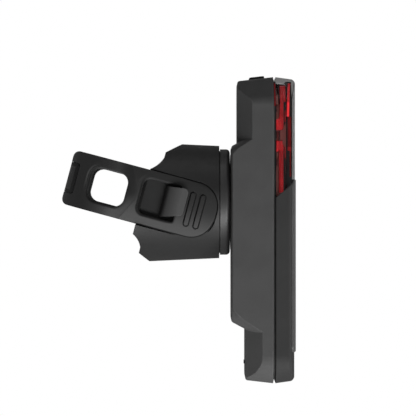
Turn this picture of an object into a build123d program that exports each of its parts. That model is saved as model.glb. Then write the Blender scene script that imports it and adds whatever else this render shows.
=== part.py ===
from build123d import *
from math import cos, radians, sin, sqrt, tan
import os

# Bike rear light on a rubber-strap seat-post mount, in millimetres.
# The origin is where the seat post's axis crosses the middle of the strap.
# +X points to the rear of the bicycle, +Z up. The post leans back by post_lean.

os.makedirs("parts", exist_ok=True)

# Seat post
post_lean = 15.0
post_radius = 12.7

# Strap round the post
strap_width = 17.6
strap_thickness = 2.9
strap_tab_reach = 33.3
strap_tab_apex = 18.5
strap_crown_radius = 24.0
strap_flare_end = 8.4
strap_bend_corner = 2.3
strap_tab_corner = 7.5
strap_window_start = -7.8
strap_window_end = 4.1
strap_window_half = 5.3
strap_window_corner = 3.0
window_rim_round = 0.6
hook_window_start = 8.8
hook_window_end = 20.7
hook_window_bottom = -5.3
hook_window_top = 6.0
hook_window_corner = 2.5
hook_window_tight_corner = 0.5
bend_pocket_depth = 0.5
bend_pocket_half_width = 5.0
bend_pocket_half_length = 9.6
bend_pocket_corner = 1.0
grip_rib_places = (24.9, 28.1)
grip_rib_width = 1.35
grip_rib_half_length = 5.3
grip_rib_height = 0.45
rim_window_margin = 0.1

# Mount body
strap_end_gap = 0.16
barrel_front_radius = 18.0
barrel_taper = 2.58
saddle_pad_thickness = 1.8
rim_line = 12.9
rim_top = 15.5
rim_bottom = -17.6
cheek_line = 9.65
cheek_top = 9.1
cheek_bottom = -12.2
top_scoop_end = 13.65
top_scoop_radius = 9.0
bottom_scoop_end = -15.7
bottom_scoop_radius = 6.4
top_chamfer_angle = 43.0
bottom_chamfer_angle = 25.5
strap_seat_clearance = 0.1
strap_outline_clearance = 0.3
hook_start = 16.2
hook_neck_end = 20.3
hook_tip = 23.2
hook_ramp_low = 17.2
hook_crest = 21.2
hook_top = 20.0
hook_head_gap = 0.3
hook_start_top = 5.2
hook_start_bottom = -4.75
hook_tip_top = 6.1
hook_tip_bottom = -2.6
hook_tip_corner = 1.3
hook_bow_share = 0.78
cross_edge_share = 0.9

# Quarter-turn socket
bayonet_height = -4.14
seam_gap = 0.24
insert_flange_thickness = 3.13
insert_flange_radius = 16.9
insert_edge_round = 1.2
insert_spigot_radius = 14.2
insert_spigot_length = 4.2
insert_floor_thickness = 1.8
insert_cavity_radius = 12.9
insert_lip_thickness = 1.33
insert_mouth_radius = 9.6
insert_bore_clearance = 0.1
barrel_seat_radius = 15.4
slot_half_angle = 33.0
stop_start_angle = -57.0
stop_end_angle = -31.6
stop_rib_inner_radius = 10.9

# Quarter-turn boss on the light
disc_to_hump_gap = 0.35
tab_half_angle = 30.0
tab_radius = 12.4
tab_thickness = 1.8
tab_lip_gap = 0.3
boss_radius = 9.2
boss_end_gap = 0.5
bayonet_flange_radius = 13.6
bayonet_flange_thickness = 1.7
bayonet_pad_radius = 15.2
bayonet_pad_depth = 4.1

# Screws
insert_screw_circle = 8.0
insert_screw_radius = 1.1
insert_screw_head_radius = 2.1
insert_screw_head_height = 1.2
insert_screw_reach = 6.0
bayonet_screw_circle = 11.4
bayonet_screw_radius = 0.95
bayonet_screw_head_radius = 1.7
bayonet_screw_head_depth = 0.9
screw_clearance = 0.05
socket_recess_share = 0.5
housing_screw_radius = 0.95
housing_screw_head_radius = 1.7
housing_screw_head_height = 1.4
housing_screw_length = 6.5
housing_boss_radius = 3.2
housing_screw_top_inset = 9.45
housing_screw_bottom_inset = 7.2
front_boss_radius = 2.6
board_screw_radius = 0.7
board_screw_head_radius = 1.4
board_screw_head_height = 0.8
board_screw_length = 4.0
board_post_radius = 2.1
board_screw_side_inset = 6.6
board_screw_top = 19.5
board_screw_drop = 3.0

# Light body
body_width = 40.0
body_top = 35.45
body_tail_length = 19.63
body_corner_radius = 9.0
body_top_chamfer = 7.25
body_top_blend = 4.0
body_wall = 2.0
rear_shell_depth = 13.67
parting_gap = 0.35
parting_bevel_run = 0.24
parting_bevel_depth = 1.1
rear_draft = 6.5
front_draft = 8.0
upper_back_step = 1.92
lower_back_step = 4.46
hump_side_inset = 1.8
hump_top = 13.4
hump_top_corner = 3.0
hump_bottom_corner = 5.0
hump_flare = 28.0
hump_edge_round = 1.2
facet_angle = 44.0
upper_facet_run = 4.75
lower_facet_run = 5.4
rear_edge_round = 0.9
front_bow = 1.61
lens_depth = 6.85
cover_depth = 6.65
front_edge_round = 1.2
split_front_height = 2.9
split_angle = 41.0
split_gap = 0.1
panel_depth = 7.15
panel_side_inset = 3.0
panel_bottom_inset = 10.03
panel_corner = 2.0
panel_seat_depth = 0.5
panel_side_gap = 0.1
seal_depth = 1.4
seal_width = 1.2
seal_height = 1.0

# Button
button_back_inset = 7.8
button_front_inset = 2.99
button_half_length = 6.0
button_corner = 1.4
button_rise = 0.93
button_edge_round = 0.3
button_travel = 0.5
button_side_gap = 0.15
boot_wall = 0.6
boot_lip = 0.8
boot_lip_thickness = 0.5
switch_width = 5.0
switch_depth = 2.0
switch_height = 2.6
plunger_radius = 0.9
plunger_height = 0.5
button_stem_radius = 1.3
button_stem_length = 0.45
plunger_gap = 0.05
switch_bracket_height = 1.3
switch_bracket_drop = 7.8

# Port and its cover
port_rise = 8.63
port_shell_width = 8.94
port_shell_height = 3.2
port_shell_wall = 0.35
port_shell_corner = 1.52
port_shell_length = 4.6
port_tongue_thickness = 0.7
port_tongue_width = 6.6
port_opening_width = 9.6
port_opening_height = 3.9
port_opening_corner = 1.9
flap_width_share = 0.35
flap_height = 8.6
flap_thickness = 1.1
flap_corner = 1.6
flap_recess_corner = 0.8
flap_gap = 0.3
flap_plug_depth = 0.9
flap_plug_gap = 0.3
flap_grip_width = 5.0
flap_grip_height = 1.0
flap_grip_rise = 0.35
port_surround = 1.6

# Inside
battery_side_room = 5.0
battery_end_room = 3.0
battery_length = 48.0
battery_thickness = 4.6
battery_top = 9.0
battery_round = 1.0
battery_seat_gap = 0.1
battery_pad_margin = 4.0
board_inset = 3.65
board_thickness = 1.0
board_edge_gap = 0.4
led_board_inset = 0.85
led_board_thickness = 0.8
optic_bottom = -2.2
optic_side_gap = 0.3
frame_thickness = 1.2
optic_centre = 16.9
led_pitch = 8.0
led_size = 3.2
led_thickness = 0.8
side_led_size = 2.2
guide_depth = 3.45
guide_width = 2.6
guide_half_gap = 0.4
guide_end_gap = 0.6
side_led_pitch = 8.5
guide_band_step = 0.6
guide_neck_depth = 0.6
guide_front_slant = 1.0
guide_foot_step = 1.0
guide_foot_height = 2.4
guide_upper_slant_top = 4.0
guide_upper_block = (1.7, 5.4)
guide_lower_block = (1.5, 4.9)
guide_lower_bar = 2.8
guide_lower_slant_end = 4.3
collimator_front_radius = 4.7
collimator_back_radius = 1.9
collimator_back_gap = 0.2
collimator_plate_thickness = 0.8
collimator_plate_half_width = 5.0
capsule_depth = 4.15
capsule_half_height = 1.5
capsule_width = 2.1
capsule_corner = 0.95
capsule_guide_gap = 1.34
sensor_board_depth = 3.35
sensor_board_thickness = 0.8
sensor_board_side_inset = 5.5
sensor_board_top = -7.0
sensor_board_panel_margin = 2.6
sensor_post_radius = 1.8
sensor_post_inset = 3.0
patch_size = 4.6
patch_thickness = 0.25
patch_pitch = 9.0
chip_size = 7.0
chip_thickness = 1.1

# Overrun of every cutting tool past the face that it cuts
overrun = 1.0

barrel_front = strap_tab_reach + strap_end_gap
insert_back = barrel_front + seam_gap
insert_front = insert_back + insert_flange_thickness
hump_back = insert_front + disc_to_hump_gap
parting_plane = hump_back + rear_shell_depth
upper_back = hump_back + upper_back_step
lower_back = hump_back + lower_back_step
lens_front = parting_plane + lens_depth
cover_front = parting_plane + cover_depth
panel_front = parting_plane + panel_depth
button_back = parting_plane - button_back_inset
button_front = parting_plane - button_front_inset
board_back = parting_plane - board_inset
led_board_back = parting_plane - led_board_inset
guide_front = parting_plane + guide_depth
capsule_front = parting_plane + capsule_depth
sensor_board_front = parting_plane + sensor_board_depth
hump_bottom = battery_top - battery_length - battery_end_room
body_bottom = hump_bottom - body_tail_length
board_screw_bottom = hump_bottom - board_screw_drop
panel_bottom = body_bottom + panel_bottom_inset
port_height = body_bottom + port_rise
sensor_board_bottom = panel_bottom + sensor_board_panel_margin
body_height = body_top - body_bottom
body_middle = (body_top + body_bottom) / 2
body_half = body_width / 2
hump_side_half = body_half - hump_side_inset
panel_half_width = body_half - panel_side_inset
board_screw_spread = body_half - board_screw_side_inset
battery_width = body_width - 2 * battery_side_room
sensor_board_half_width = body_half - sensor_board_side_inset
flap_width = body_width * flap_width_share
crown_radius = (body_half**2 + front_bow**2) / (2 * front_bow)
strap_half = strap_width / 2
strap_tab_inner = strap_tab_apex - strap_thickness - strap_seat_clearance
recess_floor = strap_tab_inner - strap_seat_clearance
saddle_radius = post_radius + saddle_pad_thickness
rear_rim = parting_plane - parting_gap / 2
front_rim = parting_plane + parting_gap / 2
lip_back = insert_front - insert_lip_thickness
cavity_back = insert_back - insert_spigot_length + insert_floor_thickness
tab_front = lip_back - tab_lip_gap
tab_back = tab_front - tab_thickness
boss_back = cavity_back + insert_screw_head_height + boss_end_gap
board_front = board_back + board_thickness
frame_back = led_board_back + led_board_thickness
frame_front = frame_back + frame_thickness
lean = Rot(0, post_lean, 0)


def across(sketch, half):
    """A sketch of the strap's side plane, extruded to both sides of the middle."""
    return extrude(sketch, amount=half, both=True)


def both_sides(sketch, near, far):
    """The same shape on the left and on the right, from one distance off the middle to another."""
    return across(sketch, far) - across(sketch, near)


def side_box(start, end, bottom, top, start_corner, end_corner):
    """A rounded rectangle in the side plane, with one corner radius at each end."""
    sketch = Plane.XZ * Pos((start + end) / 2, (bottom + top) / 2) * Rectangle(end - start, top - bottom)
    sketch = fillet(sketch.vertices().group_by(Axis.X)[-1], end_corner)
    return fillet(sketch.vertices().group_by(Axis.X)[0], start_corner)


def body_plane(x):
    """A plane square to the light's depth: its x is the object's Y and its y the object's Z."""
    return Plane(origin=(x, 0, 0), x_dir=(0, 1, 0), z_dir=(1, 0, 0))


def bayonet_plane(x):
    """The same plane with its origin on the quarter-turn axis."""
    return Plane(origin=(x, 0, bayonet_height), x_dir=(0, 1, 0), z_dir=(1, 0, 0))


def rear_plane(x):
    """A plane that faces the bicycle's front: its x is the object's -Y and its y the object's Z."""
    return Plane(origin=(x, 0, 0), x_dir=(0, -1, 0), z_dir=(-1, 0, 0))


def block(x_start, x_end, y_centre, z_centre, y_size, z_size):
    """A plain block between two depths."""
    return extrude(body_plane(x_start) * Pos(y_centre, z_centre) * Rectangle(y_size, z_size), amount=x_end - x_start)


def rod(x_start, x_end, y, z, radius):
    """A round bar along the light's depth."""
    return extrude(body_plane(x_start) * Pos(y, z) * Circle(radius), amount=x_end - x_start)


def disc(x_start, x_end, radius):
    """A disc on the quarter-turn axis."""
    return extrude(bayonet_plane(x_start) * Circle(radius), amount=x_end - x_start)


def sector(radius, start, end):
    """A slice of a circle between two angles."""
    with BuildSketch() as piece:
        with BuildLine():
            PolarLine((0, 0), radius, start)
            CenterArc((0, 0), radius, start, end - start)
            PolarLine((0, 0), radius, end)
        make_face()
    return piece.sketch


def ring_places(radius):
    """Four places on a circle, on the diagonals."""
    return [(radius * cos(radians(angle)), radius * sin(radians(angle))) for angle in (45, 135, 225, 315)]


def strap_plan(radius, tab_height, reach):
    """The strap seen along the post: half a circle, two flared legs and straight tabs."""
    with BuildSketch() as plan:
        with BuildLine():
            ThreePointArc((0, -radius), (-radius, 0), (0, radius))
            Spline((0, radius), (strap_flare_end, tab_height), tangents=((1, 0), (1, 0)))
            Polyline(
                (strap_flare_end, tab_height),
                (reach, tab_height),
                (reach, -tab_height),
                (strap_flare_end, -tab_height),
            )
            Spline((strap_flare_end, -tab_height), (0, -radius), tangents=((-1, 0), (-1, 0)))
        make_face()
    return plan.sketch


def crown(apex):
    """A long bar with two bowed sides, which rounds the strap's tabs like the barrel beside them."""
    offset_in = strap_crown_radius - apex
    lens = Pos(offset_in, 0) * Circle(strap_crown_radius) & Pos(-offset_in, 0) * Circle(strap_crown_radius)
    return extrude(Plane.YZ * lens, amount=strap_tab_reach + overrun, both=True)


def grip_ribs():
    """Raised bars near the tab's end, to pull the strap by."""
    ribs = Sketch()
    for place in grip_rib_places:
        ribs += Plane.XZ * Pos(place, 0) * SlotOverall(2 * grip_rib_half_length, grip_rib_width, rotation=90)
    bars = both_sides(ribs, strap_tab_inner + strap_thickness / 2, strap_tab_apex + grip_rib_height)
    return bars & crown(strap_tab_apex + grip_rib_height)


def bend_pocket():
    """The shallow pocket round the outside of the bend."""
    outer = post_radius + strap_thickness
    depth = outer - sqrt(outer**2 - bend_pocket_half_length**2)
    face = body_plane(-outer - overrun) * Rectangle(2 * bend_pocket_half_length, 2 * bend_pocket_half_width)
    face = fillet(face.vertices(), bend_pocket_corner)
    core = Cylinder(outer - bend_pocket_depth, strap_width + overrun)
    return extrude(face, amount=depth + overrun) - core


def see_through_window():
    """The window beside the post, seen from the side."""
    return side_box(
        strap_window_start,
        strap_window_end,
        -strap_window_half,
        strap_window_half,
        strap_window_corner,
        strap_window_corner,
    )


def hook_window():
    """The window that the hook goes through, seen from the side."""
    return side_box(
        hook_window_start,
        hook_window_end,
        hook_window_bottom,
        hook_window_top,
        hook_window_corner,
        hook_window_tight_corner,
    )


def cut_window(band, window):
    """Cuts a window through both legs and rounds its rims on the outside."""
    band = band - across(window, strap_tab_apex + overrun)
    half = strap_thickness / 2
    core = extrude(
        strap_plan(post_radius + half, strap_tab_inner + half, strap_tab_reach), amount=strap_width, both=True
    ).solid()
    box = window.bounding_box()
    rim = []
    for edge in band.edges():
        middle = edge.center()
        beside = box.min.X - rim_window_margin < middle.X < box.max.X + rim_window_margin
        level = box.min.Z - rim_window_margin < middle.Z < box.max.Z + rim_window_margin
        crosses = abs(edge.tangent_at(0.5).Y) > cross_edge_share
        if beside and level and not crosses and not core.is_inside(middle):
            rim.append(edge)
    return fillet(rim, window_rim_round)


def make_strap():
    """Rubber strap: a flared band, crowned tabs, two pairs of windows, a pocket and grip ribs."""
    outer = strap_plan(post_radius + strap_thickness, strap_tab_apex, strap_tab_reach)
    inner = strap_plan(post_radius, strap_tab_inner, strap_tab_reach + overrun)
    band = extrude(outer - inner, amount=strap_half, both=True) & crown(strap_tab_apex)
    outline = side_box(
        -post_radius - strap_thickness,
        strap_tab_reach,
        -strap_half,
        strap_half,
        strap_bend_corner,
        strap_tab_corner,
    )
    band = band & across(outline, strap_tab_apex + overrun)
    band = cut_window(band, see_through_window())
    band = cut_window(band, hook_window())
    return lean * (band + grip_ribs() - bend_pocket())


def mount_side_profile():
    """The mount seen from its side: chamfers, scoops and cheeks round the saddle."""
    far = strap_tab_reach + post_radius
    run = barrel_front_radius
    top_run = (rim_line + run * cos(radians(top_chamfer_angle)), rim_top + run * sin(radians(top_chamfer_angle)))
    bottom_run = (
        rim_line + run * cos(radians(bottom_chamfer_angle)),
        rim_bottom - run * sin(radians(bottom_chamfer_angle)),
    )
    with BuildSketch(Plane.XZ) as profile:
        with BuildLine():
            Line(top_run, (rim_line, rim_top))
            Line((rim_line, rim_top), (rim_line, top_scoop_end))
            RadiusArc((rim_line, top_scoop_end), (cheek_line, cheek_top), top_scoop_radius)
            Line((cheek_line, cheek_top), (cheek_line, cheek_bottom))
            RadiusArc((cheek_line, cheek_bottom), (rim_line, bottom_scoop_end), bottom_scoop_radius)
            Line((rim_line, bottom_scoop_end), (rim_line, rim_bottom))
            Line((rim_line, rim_bottom), bottom_run)
            Polyline(bottom_run, (far, bottom_run[1]), (far, top_run[1]), top_run)
        make_face()
    return across(profile.sketch, barrel_front_radius + overrun)


def make_hooks():
    """A hook on each side: a neck through the strap's window and a ramped head over its tab."""
    under = strap_tab_apex + hook_head_gap
    root = recess_floor - strap_thickness
    with BuildSketch() as profile:
        with BuildLine():
            Line((hook_start, root), (hook_start, hook_ramp_low))
            ThreePointArc(
                (hook_start, hook_ramp_low),
                ((hook_start + hook_crest) / 2, hook_ramp_low + (hook_top - hook_ramp_low) * hook_bow_share),
                (hook_crest, hook_top),
            )
            Polyline(
                (hook_crest, hook_top),
                (hook_tip, hook_top),
                (hook_tip, under),
                (hook_neck_end, under),
                (hook_neck_end, root),
                (hook_start, root),
            )
        make_face()
    with BuildSketch(Plane.XZ) as head:
        Polygon(
            (hook_start, hook_start_bottom),
            (hook_tip, hook_tip_bottom),
            (hook_tip, hook_tip_top),
            (hook_start, hook_start_top),
            align=None,
        )
        fillet(head.vertices().group_by(Axis.X)[-1], hook_tip_corner)
    hook = extrude(profile.sketch, amount=strap_half, both=True) & across(head.sketch, hook_top + overrun)
    return hook + mirror(hook, Plane.XZ)


def make_mount_body():
    """Barrel with a saddle for the post, a seat and a hook for the strap on each side, and the socket's bore."""
    back_radius = barrel_front_radius + barrel_front * tan(radians(barrel_taper))
    barrel = Plane(origin=(barrel_front, 0, bayonet_height), z_dir=(-1, 0, 0)) * Cone(
        barrel_front_radius, back_radius, barrel_front, align=(Align.CENTER, Align.CENTER, Align.MIN)
    )
    body = barrel & (lean * mount_side_profile())
    body = body - lean * Cylinder(saddle_radius, 4 * strap_width)
    seat = side_box(
        -post_radius,
        strap_tab_reach + strap_outline_clearance,
        -strap_half - strap_outline_clearance,
        strap_half + strap_outline_clearance,
        strap_bend_corner,
        strap_tab_corner + strap_outline_clearance,
    )
    body = body - lean * both_sides(seat, recess_floor, barrel_front_radius + 2 * overrun)
    body = body + lean * make_hooks()
    body = body + disc(barrel_front - overrun, insert_back, barrel_seat_radius)
    bore_back = insert_back - insert_spigot_length - insert_bore_clearance
    body = body - disc(bore_back, insert_back + overrun, insert_spigot_radius + insert_bore_clearance)
    for y, z in ring_places(insert_screw_circle):
        body = body - rod(
            bore_back - insert_screw_reach,
            bore_back + overrun,
            y,
            bayonet_height + z,
            insert_screw_radius + screw_clearance,
        )
    return body


def make_saddle_pad():
    """Curved rubber pad between the saddle and the post."""
    ring = Cylinder(saddle_radius, 4 * strap_width) - Cylinder(post_radius, 4 * strap_width)
    return lean * (ring & mount_side_profile())


def make_socket_insert():
    """Quarter-turn socket: a flange with lips, two slots, a cavity behind and stop ribs."""
    flange = disc(insert_back, insert_front, insert_flange_radius)
    flange = fillet(flange.edges().group_by(Axis.X)[-1], insert_edge_round)
    body = flange + disc(insert_back - insert_spigot_length, insert_back + overrun, insert_spigot_radius)
    body = body - disc(cavity_back, lip_back, insert_cavity_radius)
    mouth = Sketch() + Circle(insert_mouth_radius)
    for middle in (90, 270):
        mouth += sector(insert_cavity_radius, middle - slot_half_angle, middle + slot_half_angle)
    body = body - extrude(bayonet_plane(lip_back - overrun) * mouth, amount=insert_lip_thickness + 2 * overrun)
    for turn in (0, 180):
        rib = sector(insert_cavity_radius + overrun, stop_start_angle + turn, stop_end_angle + turn)
        rib = rib - Circle(stop_rib_inner_radius)
        body = body + extrude(bayonet_plane(cavity_back - overrun) * rib, amount=lip_back - cavity_back + overrun)
    for y, z in ring_places(insert_screw_circle):
        body = body - rod(
            cavity_back - 2 * insert_floor_thickness,
            cavity_back + overrun,
            y,
            bayonet_height + z,
            insert_screw_radius + screw_clearance,
        )
    return body


def socket_screw(start, y, z, head_radius, head_height, radius, length, direction):
    """A screw with a cylinder head and a hexagon recess; direction is the way in which it is driven."""
    head = rod(start, start + direction * head_height, y, z, head_radius)
    shank = rod(start + direction * head_height, start + direction * (head_height + length), y, z, radius)
    recess = body_plane(start) * Pos(y, z) * RegularPolygon(head_radius * socket_recess_share, 6)
    return head + shank - extrude(recess, amount=direction * head_height * socket_recess_share)


def make_insert_screws():
    """Four screws from the cavity's floor into the barrel."""
    screws = []
    for y, z in ring_places(insert_screw_circle):
        screws.append(
            socket_screw(
                cavity_back + insert_screw_head_height,
                y,
                bayonet_height + z,
                insert_screw_head_radius,
                insert_screw_head_height,
                insert_screw_radius,
                insert_floor_thickness + insert_screw_reach - insert_bore_clearance,
                -1,
            )
        )
    return Compound(children=screws)


def body_outline(inset):
    """The light seen from behind: long sides, bevelled top corners and round bottom corners."""
    outline = Pos(0, body_middle) * Rectangle(body_width - 2 * inset, body_height - 2 * inset)
    outline = fillet(outline.vertices().group_by(Axis.Y)[0], body_corner_radius - inset)
    leg = body_top_chamfer - inset * (2 - sqrt(2))
    outline = chamfer(outline.vertices().group_by(Axis.Y)[-1], leg)
    blend = body_top_blend * (1 - inset / body_corner_radius)
    corners = [v for v in outline.vertices() if v.Y > body_top - inset - leg - overrun]
    return fillet(corners, blend)


def facet_profile(back, run, inset):
    """One length of the housing seen from above: a flat back and a facet to each side."""
    side = body_half - (parting_plane - back - run) * tan(radians(rear_draft))
    slope = tan(radians(facet_angle))
    shift = inset / cos(radians(facet_angle)) - inset * slope
    half_back = side - run * slope - shift
    far = parting_plane - back
    with BuildSketch() as profile:
        Polygon(
            (back + inset, half_back),
            (back + inset + far, half_back + far * slope),
            (back + inset + far, -half_back - far * slope),
            (back + inset, -half_back),
            align=None,
        )
    return profile.sketch


def hump_form(inset):
    """The raised block that carries the quarter-turn boss, flared towards the front."""
    height = hump_top - hump_bottom - 2 * inset
    face = Pos(0, (hump_top + hump_bottom) / 2) * Rectangle(2 * (hump_side_half - inset), height)
    face = fillet(face.vertices().group_by(Axis.Y)[-1], hump_top_corner - inset / 2)
    face = fillet(face.vertices().group_by(Axis.Y)[0], hump_bottom_corner - inset / 2)
    return extrude(body_plane(hump_back + inset) * face, amount=parting_plane - hump_back, taper=-hump_flare)


def rear_form(inset):
    """The rear shell's solid form, or its hollow when inset by the wall."""
    envelope = extrude(
        rear_plane(rear_rim) * body_outline(inset), amount=rear_rim - hump_back - inset, taper=rear_draft
    )
    middle = (hump_top + hump_bottom) / 2
    upper = Pos(0, 0, middle) * extrude(facet_profile(upper_back, upper_facet_run, inset), amount=body_height)
    lower = Pos(0, 0, middle) * extrude(facet_profile(lower_back, lower_facet_run, inset), amount=-body_height)
    return envelope & (upper + lower + hump_form(inset))


def crown_prism(front, inset):
    """Everything behind the bowed front face."""
    apex = front - inset
    centre = apex - crown_radius
    sagitta_x = centre + sqrt(crown_radius**2 - body_half**2)
    with BuildSketch() as plan:
        with BuildLine():
            ThreePointArc((sagitta_x, -body_half), (apex, 0), (sagitta_x, body_half))
            Polyline(
                (sagitta_x, body_half),
                (hump_back, body_half),
                (hump_back, -body_half),
                (sagitta_x, -body_half),
            )
        make_face()
    return Pos(0, 0, body_middle) * extrude(plan.sketch, amount=body_height, both=True)


def front_form(front, inset):
    """The front shell's solid form, or its hollow when inset by the wall."""
    envelope = extrude(body_plane(front_rim) * body_outline(inset), amount=front - front_rim, taper=front_draft)
    return envelope & crown_prism(front, inset)


def split_tool(above):
    """The half of space above or below the slanted joint between the lens and the cover."""
    reach = body_height
    slope = tan(radians(split_angle))
    shift = split_gap / 2 / cos(radians(split_angle))
    if not above:
        shift = -shift
        reach = -reach
    run = parting_plane - hump_back
    foot = split_front_height + shift - (lens_front - parting_plane + run) * slope
    head = split_front_height + shift + run * slope
    with BuildSketch(Plane.XZ) as side:
        Polygon(
            (parting_plane - run, foot),
            (lens_front + run, head),
            (lens_front + run, head + reach),
            (parting_plane - run, foot + reach),
            align=None,
        )
    return across(side.sketch, body_width)


def parting_groove(rim, direction):
    """The bevel that opens the parting line to a V, as a tool outside the shell's rim."""
    outer = extrude(body_plane(rim) * body_outline(-overrun), amount=direction * parting_bevel_run)
    inner = body_outline(0)
    deep = body_outline(parting_bevel_depth)
    core = loft([body_plane(rim) * deep, body_plane(rim + direction * parting_bevel_run) * inner], ruled=True)
    return outer - core


def seal_ring(clearance):
    """The seal's solid, in the rebates of both shells."""
    half = seal_height / 2 + clearance
    ring = body_outline(seal_depth - clearance) - body_outline(seal_depth + seal_width + clearance)
    return extrude(body_plane(parting_plane - half) * ring, amount=2 * half)


def housing_screw_places():
    """Where the four housing screws stand: above between optics and guide, below beside the port's cover."""
    top_spread = (collimator_plate_half_width + guide_middle() - guide_width / 2) / 2
    bottom_spread = flap_width / 2 + flap_gap + housing_boss_radius
    places = []
    for side in (-1, 1):
        places.append((side * top_spread, body_top - housing_screw_top_inset))
        places.append((side * bottom_spread, body_bottom + housing_screw_bottom_inset))
    return places


def board_screw_places():
    """Where the four board screws stand."""
    return [(side * board_screw_spread, z) for side in (-1, 1) for z in (board_screw_top, board_screw_bottom)]


def button_frame():
    """The frame of the slanted top at the button: its Z is the face's normal, its X runs to the rear."""
    x = (button_back + button_front) / 2
    z = body_top - (rear_rim - x) * tan(radians(rear_draft))
    return Pos(x, 0, z) * Rot(0, -rear_draft, 0)


def button_prism(grow, bottom, top):
    """The button's outline, grown by a gap, between two heights over the slanted top."""
    slant = cos(radians(rear_draft))
    outline = RectangleRounded(
        (button_front - button_back) / slant + 2 * grow, 2 * button_half_length + 2 * grow, button_corner + grow
    )
    return button_frame() * Pos(0, 0, bottom) * extrude(outline, amount=top - bottom)


def seat_screw_hole(body, y, z):
    """Adds one housing screw's boss with its deep counterbore."""
    back = upper_back if z > hump_top else lower_back
    seat = rear_rim - housing_boss_radius
    body = body + (rod(back + body_wall / 2, rear_rim, y, z, housing_boss_radius) & rear_form(0))
    body = body - rod(back - overrun, seat, y, z, housing_screw_head_radius + 4 * screw_clearance)
    return body - rod(seat - overrun, rear_rim + overrun, y, z, housing_screw_radius + screw_clearance)


def flap_recess(grow):
    """The port cover's outline, or its recess with tighter corners, so that the cover's ends clear it open."""
    corner = flap_recess_corner if grow else flap_corner
    return Pos(0, port_height) * RectangleRounded(flap_width + 2 * grow, flap_height + 2 * grow, corner)


def make_rear_housing():
    """Moulded rear shell with its hump, facets, bosses, rebate, button hole and port."""
    outer = rear_form(0)
    back_edges = outer.edges().filter_by(Axis.Y).filter_by(lambda e: e.center().X < lower_back + overrun)
    tips = [e for e in back_edges if not hump_bottom - hump_bottom_corner < e.center().Z < hump_top + hump_top_corner]
    outer = fillet(tips, rear_edge_round)
    hump_edges = outer.faces().filter_by(Axis.X).sort_by(Axis.X)[0].edges()
    outer = fillet(hump_edges, hump_edge_round)
    body = outer - rear_form(body_wall)
    pad = disc(hump_back, hump_back + bayonet_pad_depth, bayonet_pad_radius)
    body = body + (pad & rear_form(0))
    body = body - disc(
        hump_back - overrun,
        hump_back + bayonet_flange_thickness + screw_clearance,
        bayonet_flange_radius + screw_clearance,
    )
    for y, z in ring_places(bayonet_screw_circle):
        body = body - rod(
            hump_back, hump_back + bayonet_pad_depth + overrun, y, bayonet_height + z,
            bayonet_screw_radius + screw_clearance,
        )
    surround = block(
        lower_back + body_wall / 2,
        lower_back + flap_thickness + port_surround,
        0,
        port_height,
        flap_width + 2 * port_surround,
        flap_height + 2 * port_surround,
    )
    body = body + (surround & rear_form(0))
    for y, z in housing_screw_places():
        body = seat_screw_hole(body, y, z)
    for y, z in board_screw_places():
        start = hump_back if z > hump_top else lower_back
        post = rod(start, board_back, y, z, board_post_radius) & rear_form(body_wall / 2)
        body = body + post - rod(
            board_back - board_screw_length, board_back + overrun, y, z, board_screw_radius + screw_clearance
        )
    body = body - parting_groove(rear_rim, -1) - seal_ring(0)
    body = body - button_prism(button_side_gap + boot_wall, -2 * body_wall, overrun)
    recess = extrude(
        body_plane(lower_back - overrun) * flap_recess(flap_gap), amount=flap_thickness + flap_gap + overrun
    )
    opening = Pos(0, port_height) * RectangleRounded(port_opening_width, port_opening_height, port_opening_corner)
    body = body - recess
    return body - extrude(body_plane(lower_back - overrun) * opening, amount=board_back - lower_back)


def front_shell(front):
    """A front shell's full form with its rounded front edge, hollowed."""
    outer = front_form(front, 0)
    bowed = [e for e in outer.edges() if crown_edge(e, front)]
    return fillet(bowed, front_edge_round) - front_form(front, body_wall)


def crown_edge(edge, front):
    """Whether an edge lies in the bowed front face."""
    for share in (0, 0.5, 1):
        point = edge.position_at(share)
        face_x = front - crown_radius + sqrt(crown_radius**2 - point.Y**2)
        if abs(point.X - face_x) > front_edge_round / 10:
            return False
    return True


def panel_outline(grow):
    """The raised plain panel's outline."""
    height = split_front_height - panel_bottom
    return Pos(0, (split_front_height + panel_bottom) / 2) * RectangleRounded(
        2 * (panel_half_width + grow), height + 2 * grow, panel_corner + grow
    )


def panel_pocket():
    """The shallow seat that the panel lies in."""
    reach = cover_front - hump_back
    prism = extrude(body_plane(hump_back) * panel_outline(panel_side_gap), amount=2 * reach)
    return prism - crown_prism(cover_front - panel_seat_depth, 0)


def front_bosses(top):
    """Bosses for the housing screws, at the top or at the bottom."""
    bosses = []
    for y, z in housing_screw_places():
        if (z > optic_bottom) == top:
            bosses.append((y, z))
    return bosses


def add_front_bosses(shell, front, top):
    """The shell with its screw bosses, bored for the screws."""
    for y, z in front_bosses(top):
        boss = rod(rear_rim, front, y, z, front_boss_radius) & front_form_with_neck(front)
        shell = shell + boss
    for y, z in front_bosses(top):
        tip = rear_rim - housing_boss_radius + housing_screw_head_height + housing_screw_length
        shell = shell - rod(rear_rim - overrun, tip, y, z, housing_screw_radius + screw_clearance)
    return shell


def front_form_with_neck(front):
    """The front form, carried back to the rear shell's bosses."""
    neck = extrude(body_plane(rear_rim) * body_outline(body_wall), amount=front_rim - rear_rim)
    return front_form(front, body_wall / 2) + neck


def make_front_lens():
    """Clear upper front shell."""
    shell = front_shell(lens_front) & split_tool(True)
    shell = add_front_bosses(shell, lens_front, True)
    return shell - parting_groove(front_rim, 1) - seal_ring(0) - panel_pocket()


def make_front_cover():
    """Opaque lower front shell with the panel's seat and posts for the antenna board."""
    shell = front_shell(cover_front) & split_tool(False)
    shell = add_front_bosses(shell, cover_front, False)
    for y, z in sensor_post_places():
        post = rod(sensor_board_front, cover_front, y, z, sensor_post_radius)
        shell = shell + (post & front_form(cover_front, body_wall / 2))
    return shell - parting_groove(front_rim, 1) - seal_ring(0) - panel_pocket()


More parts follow.
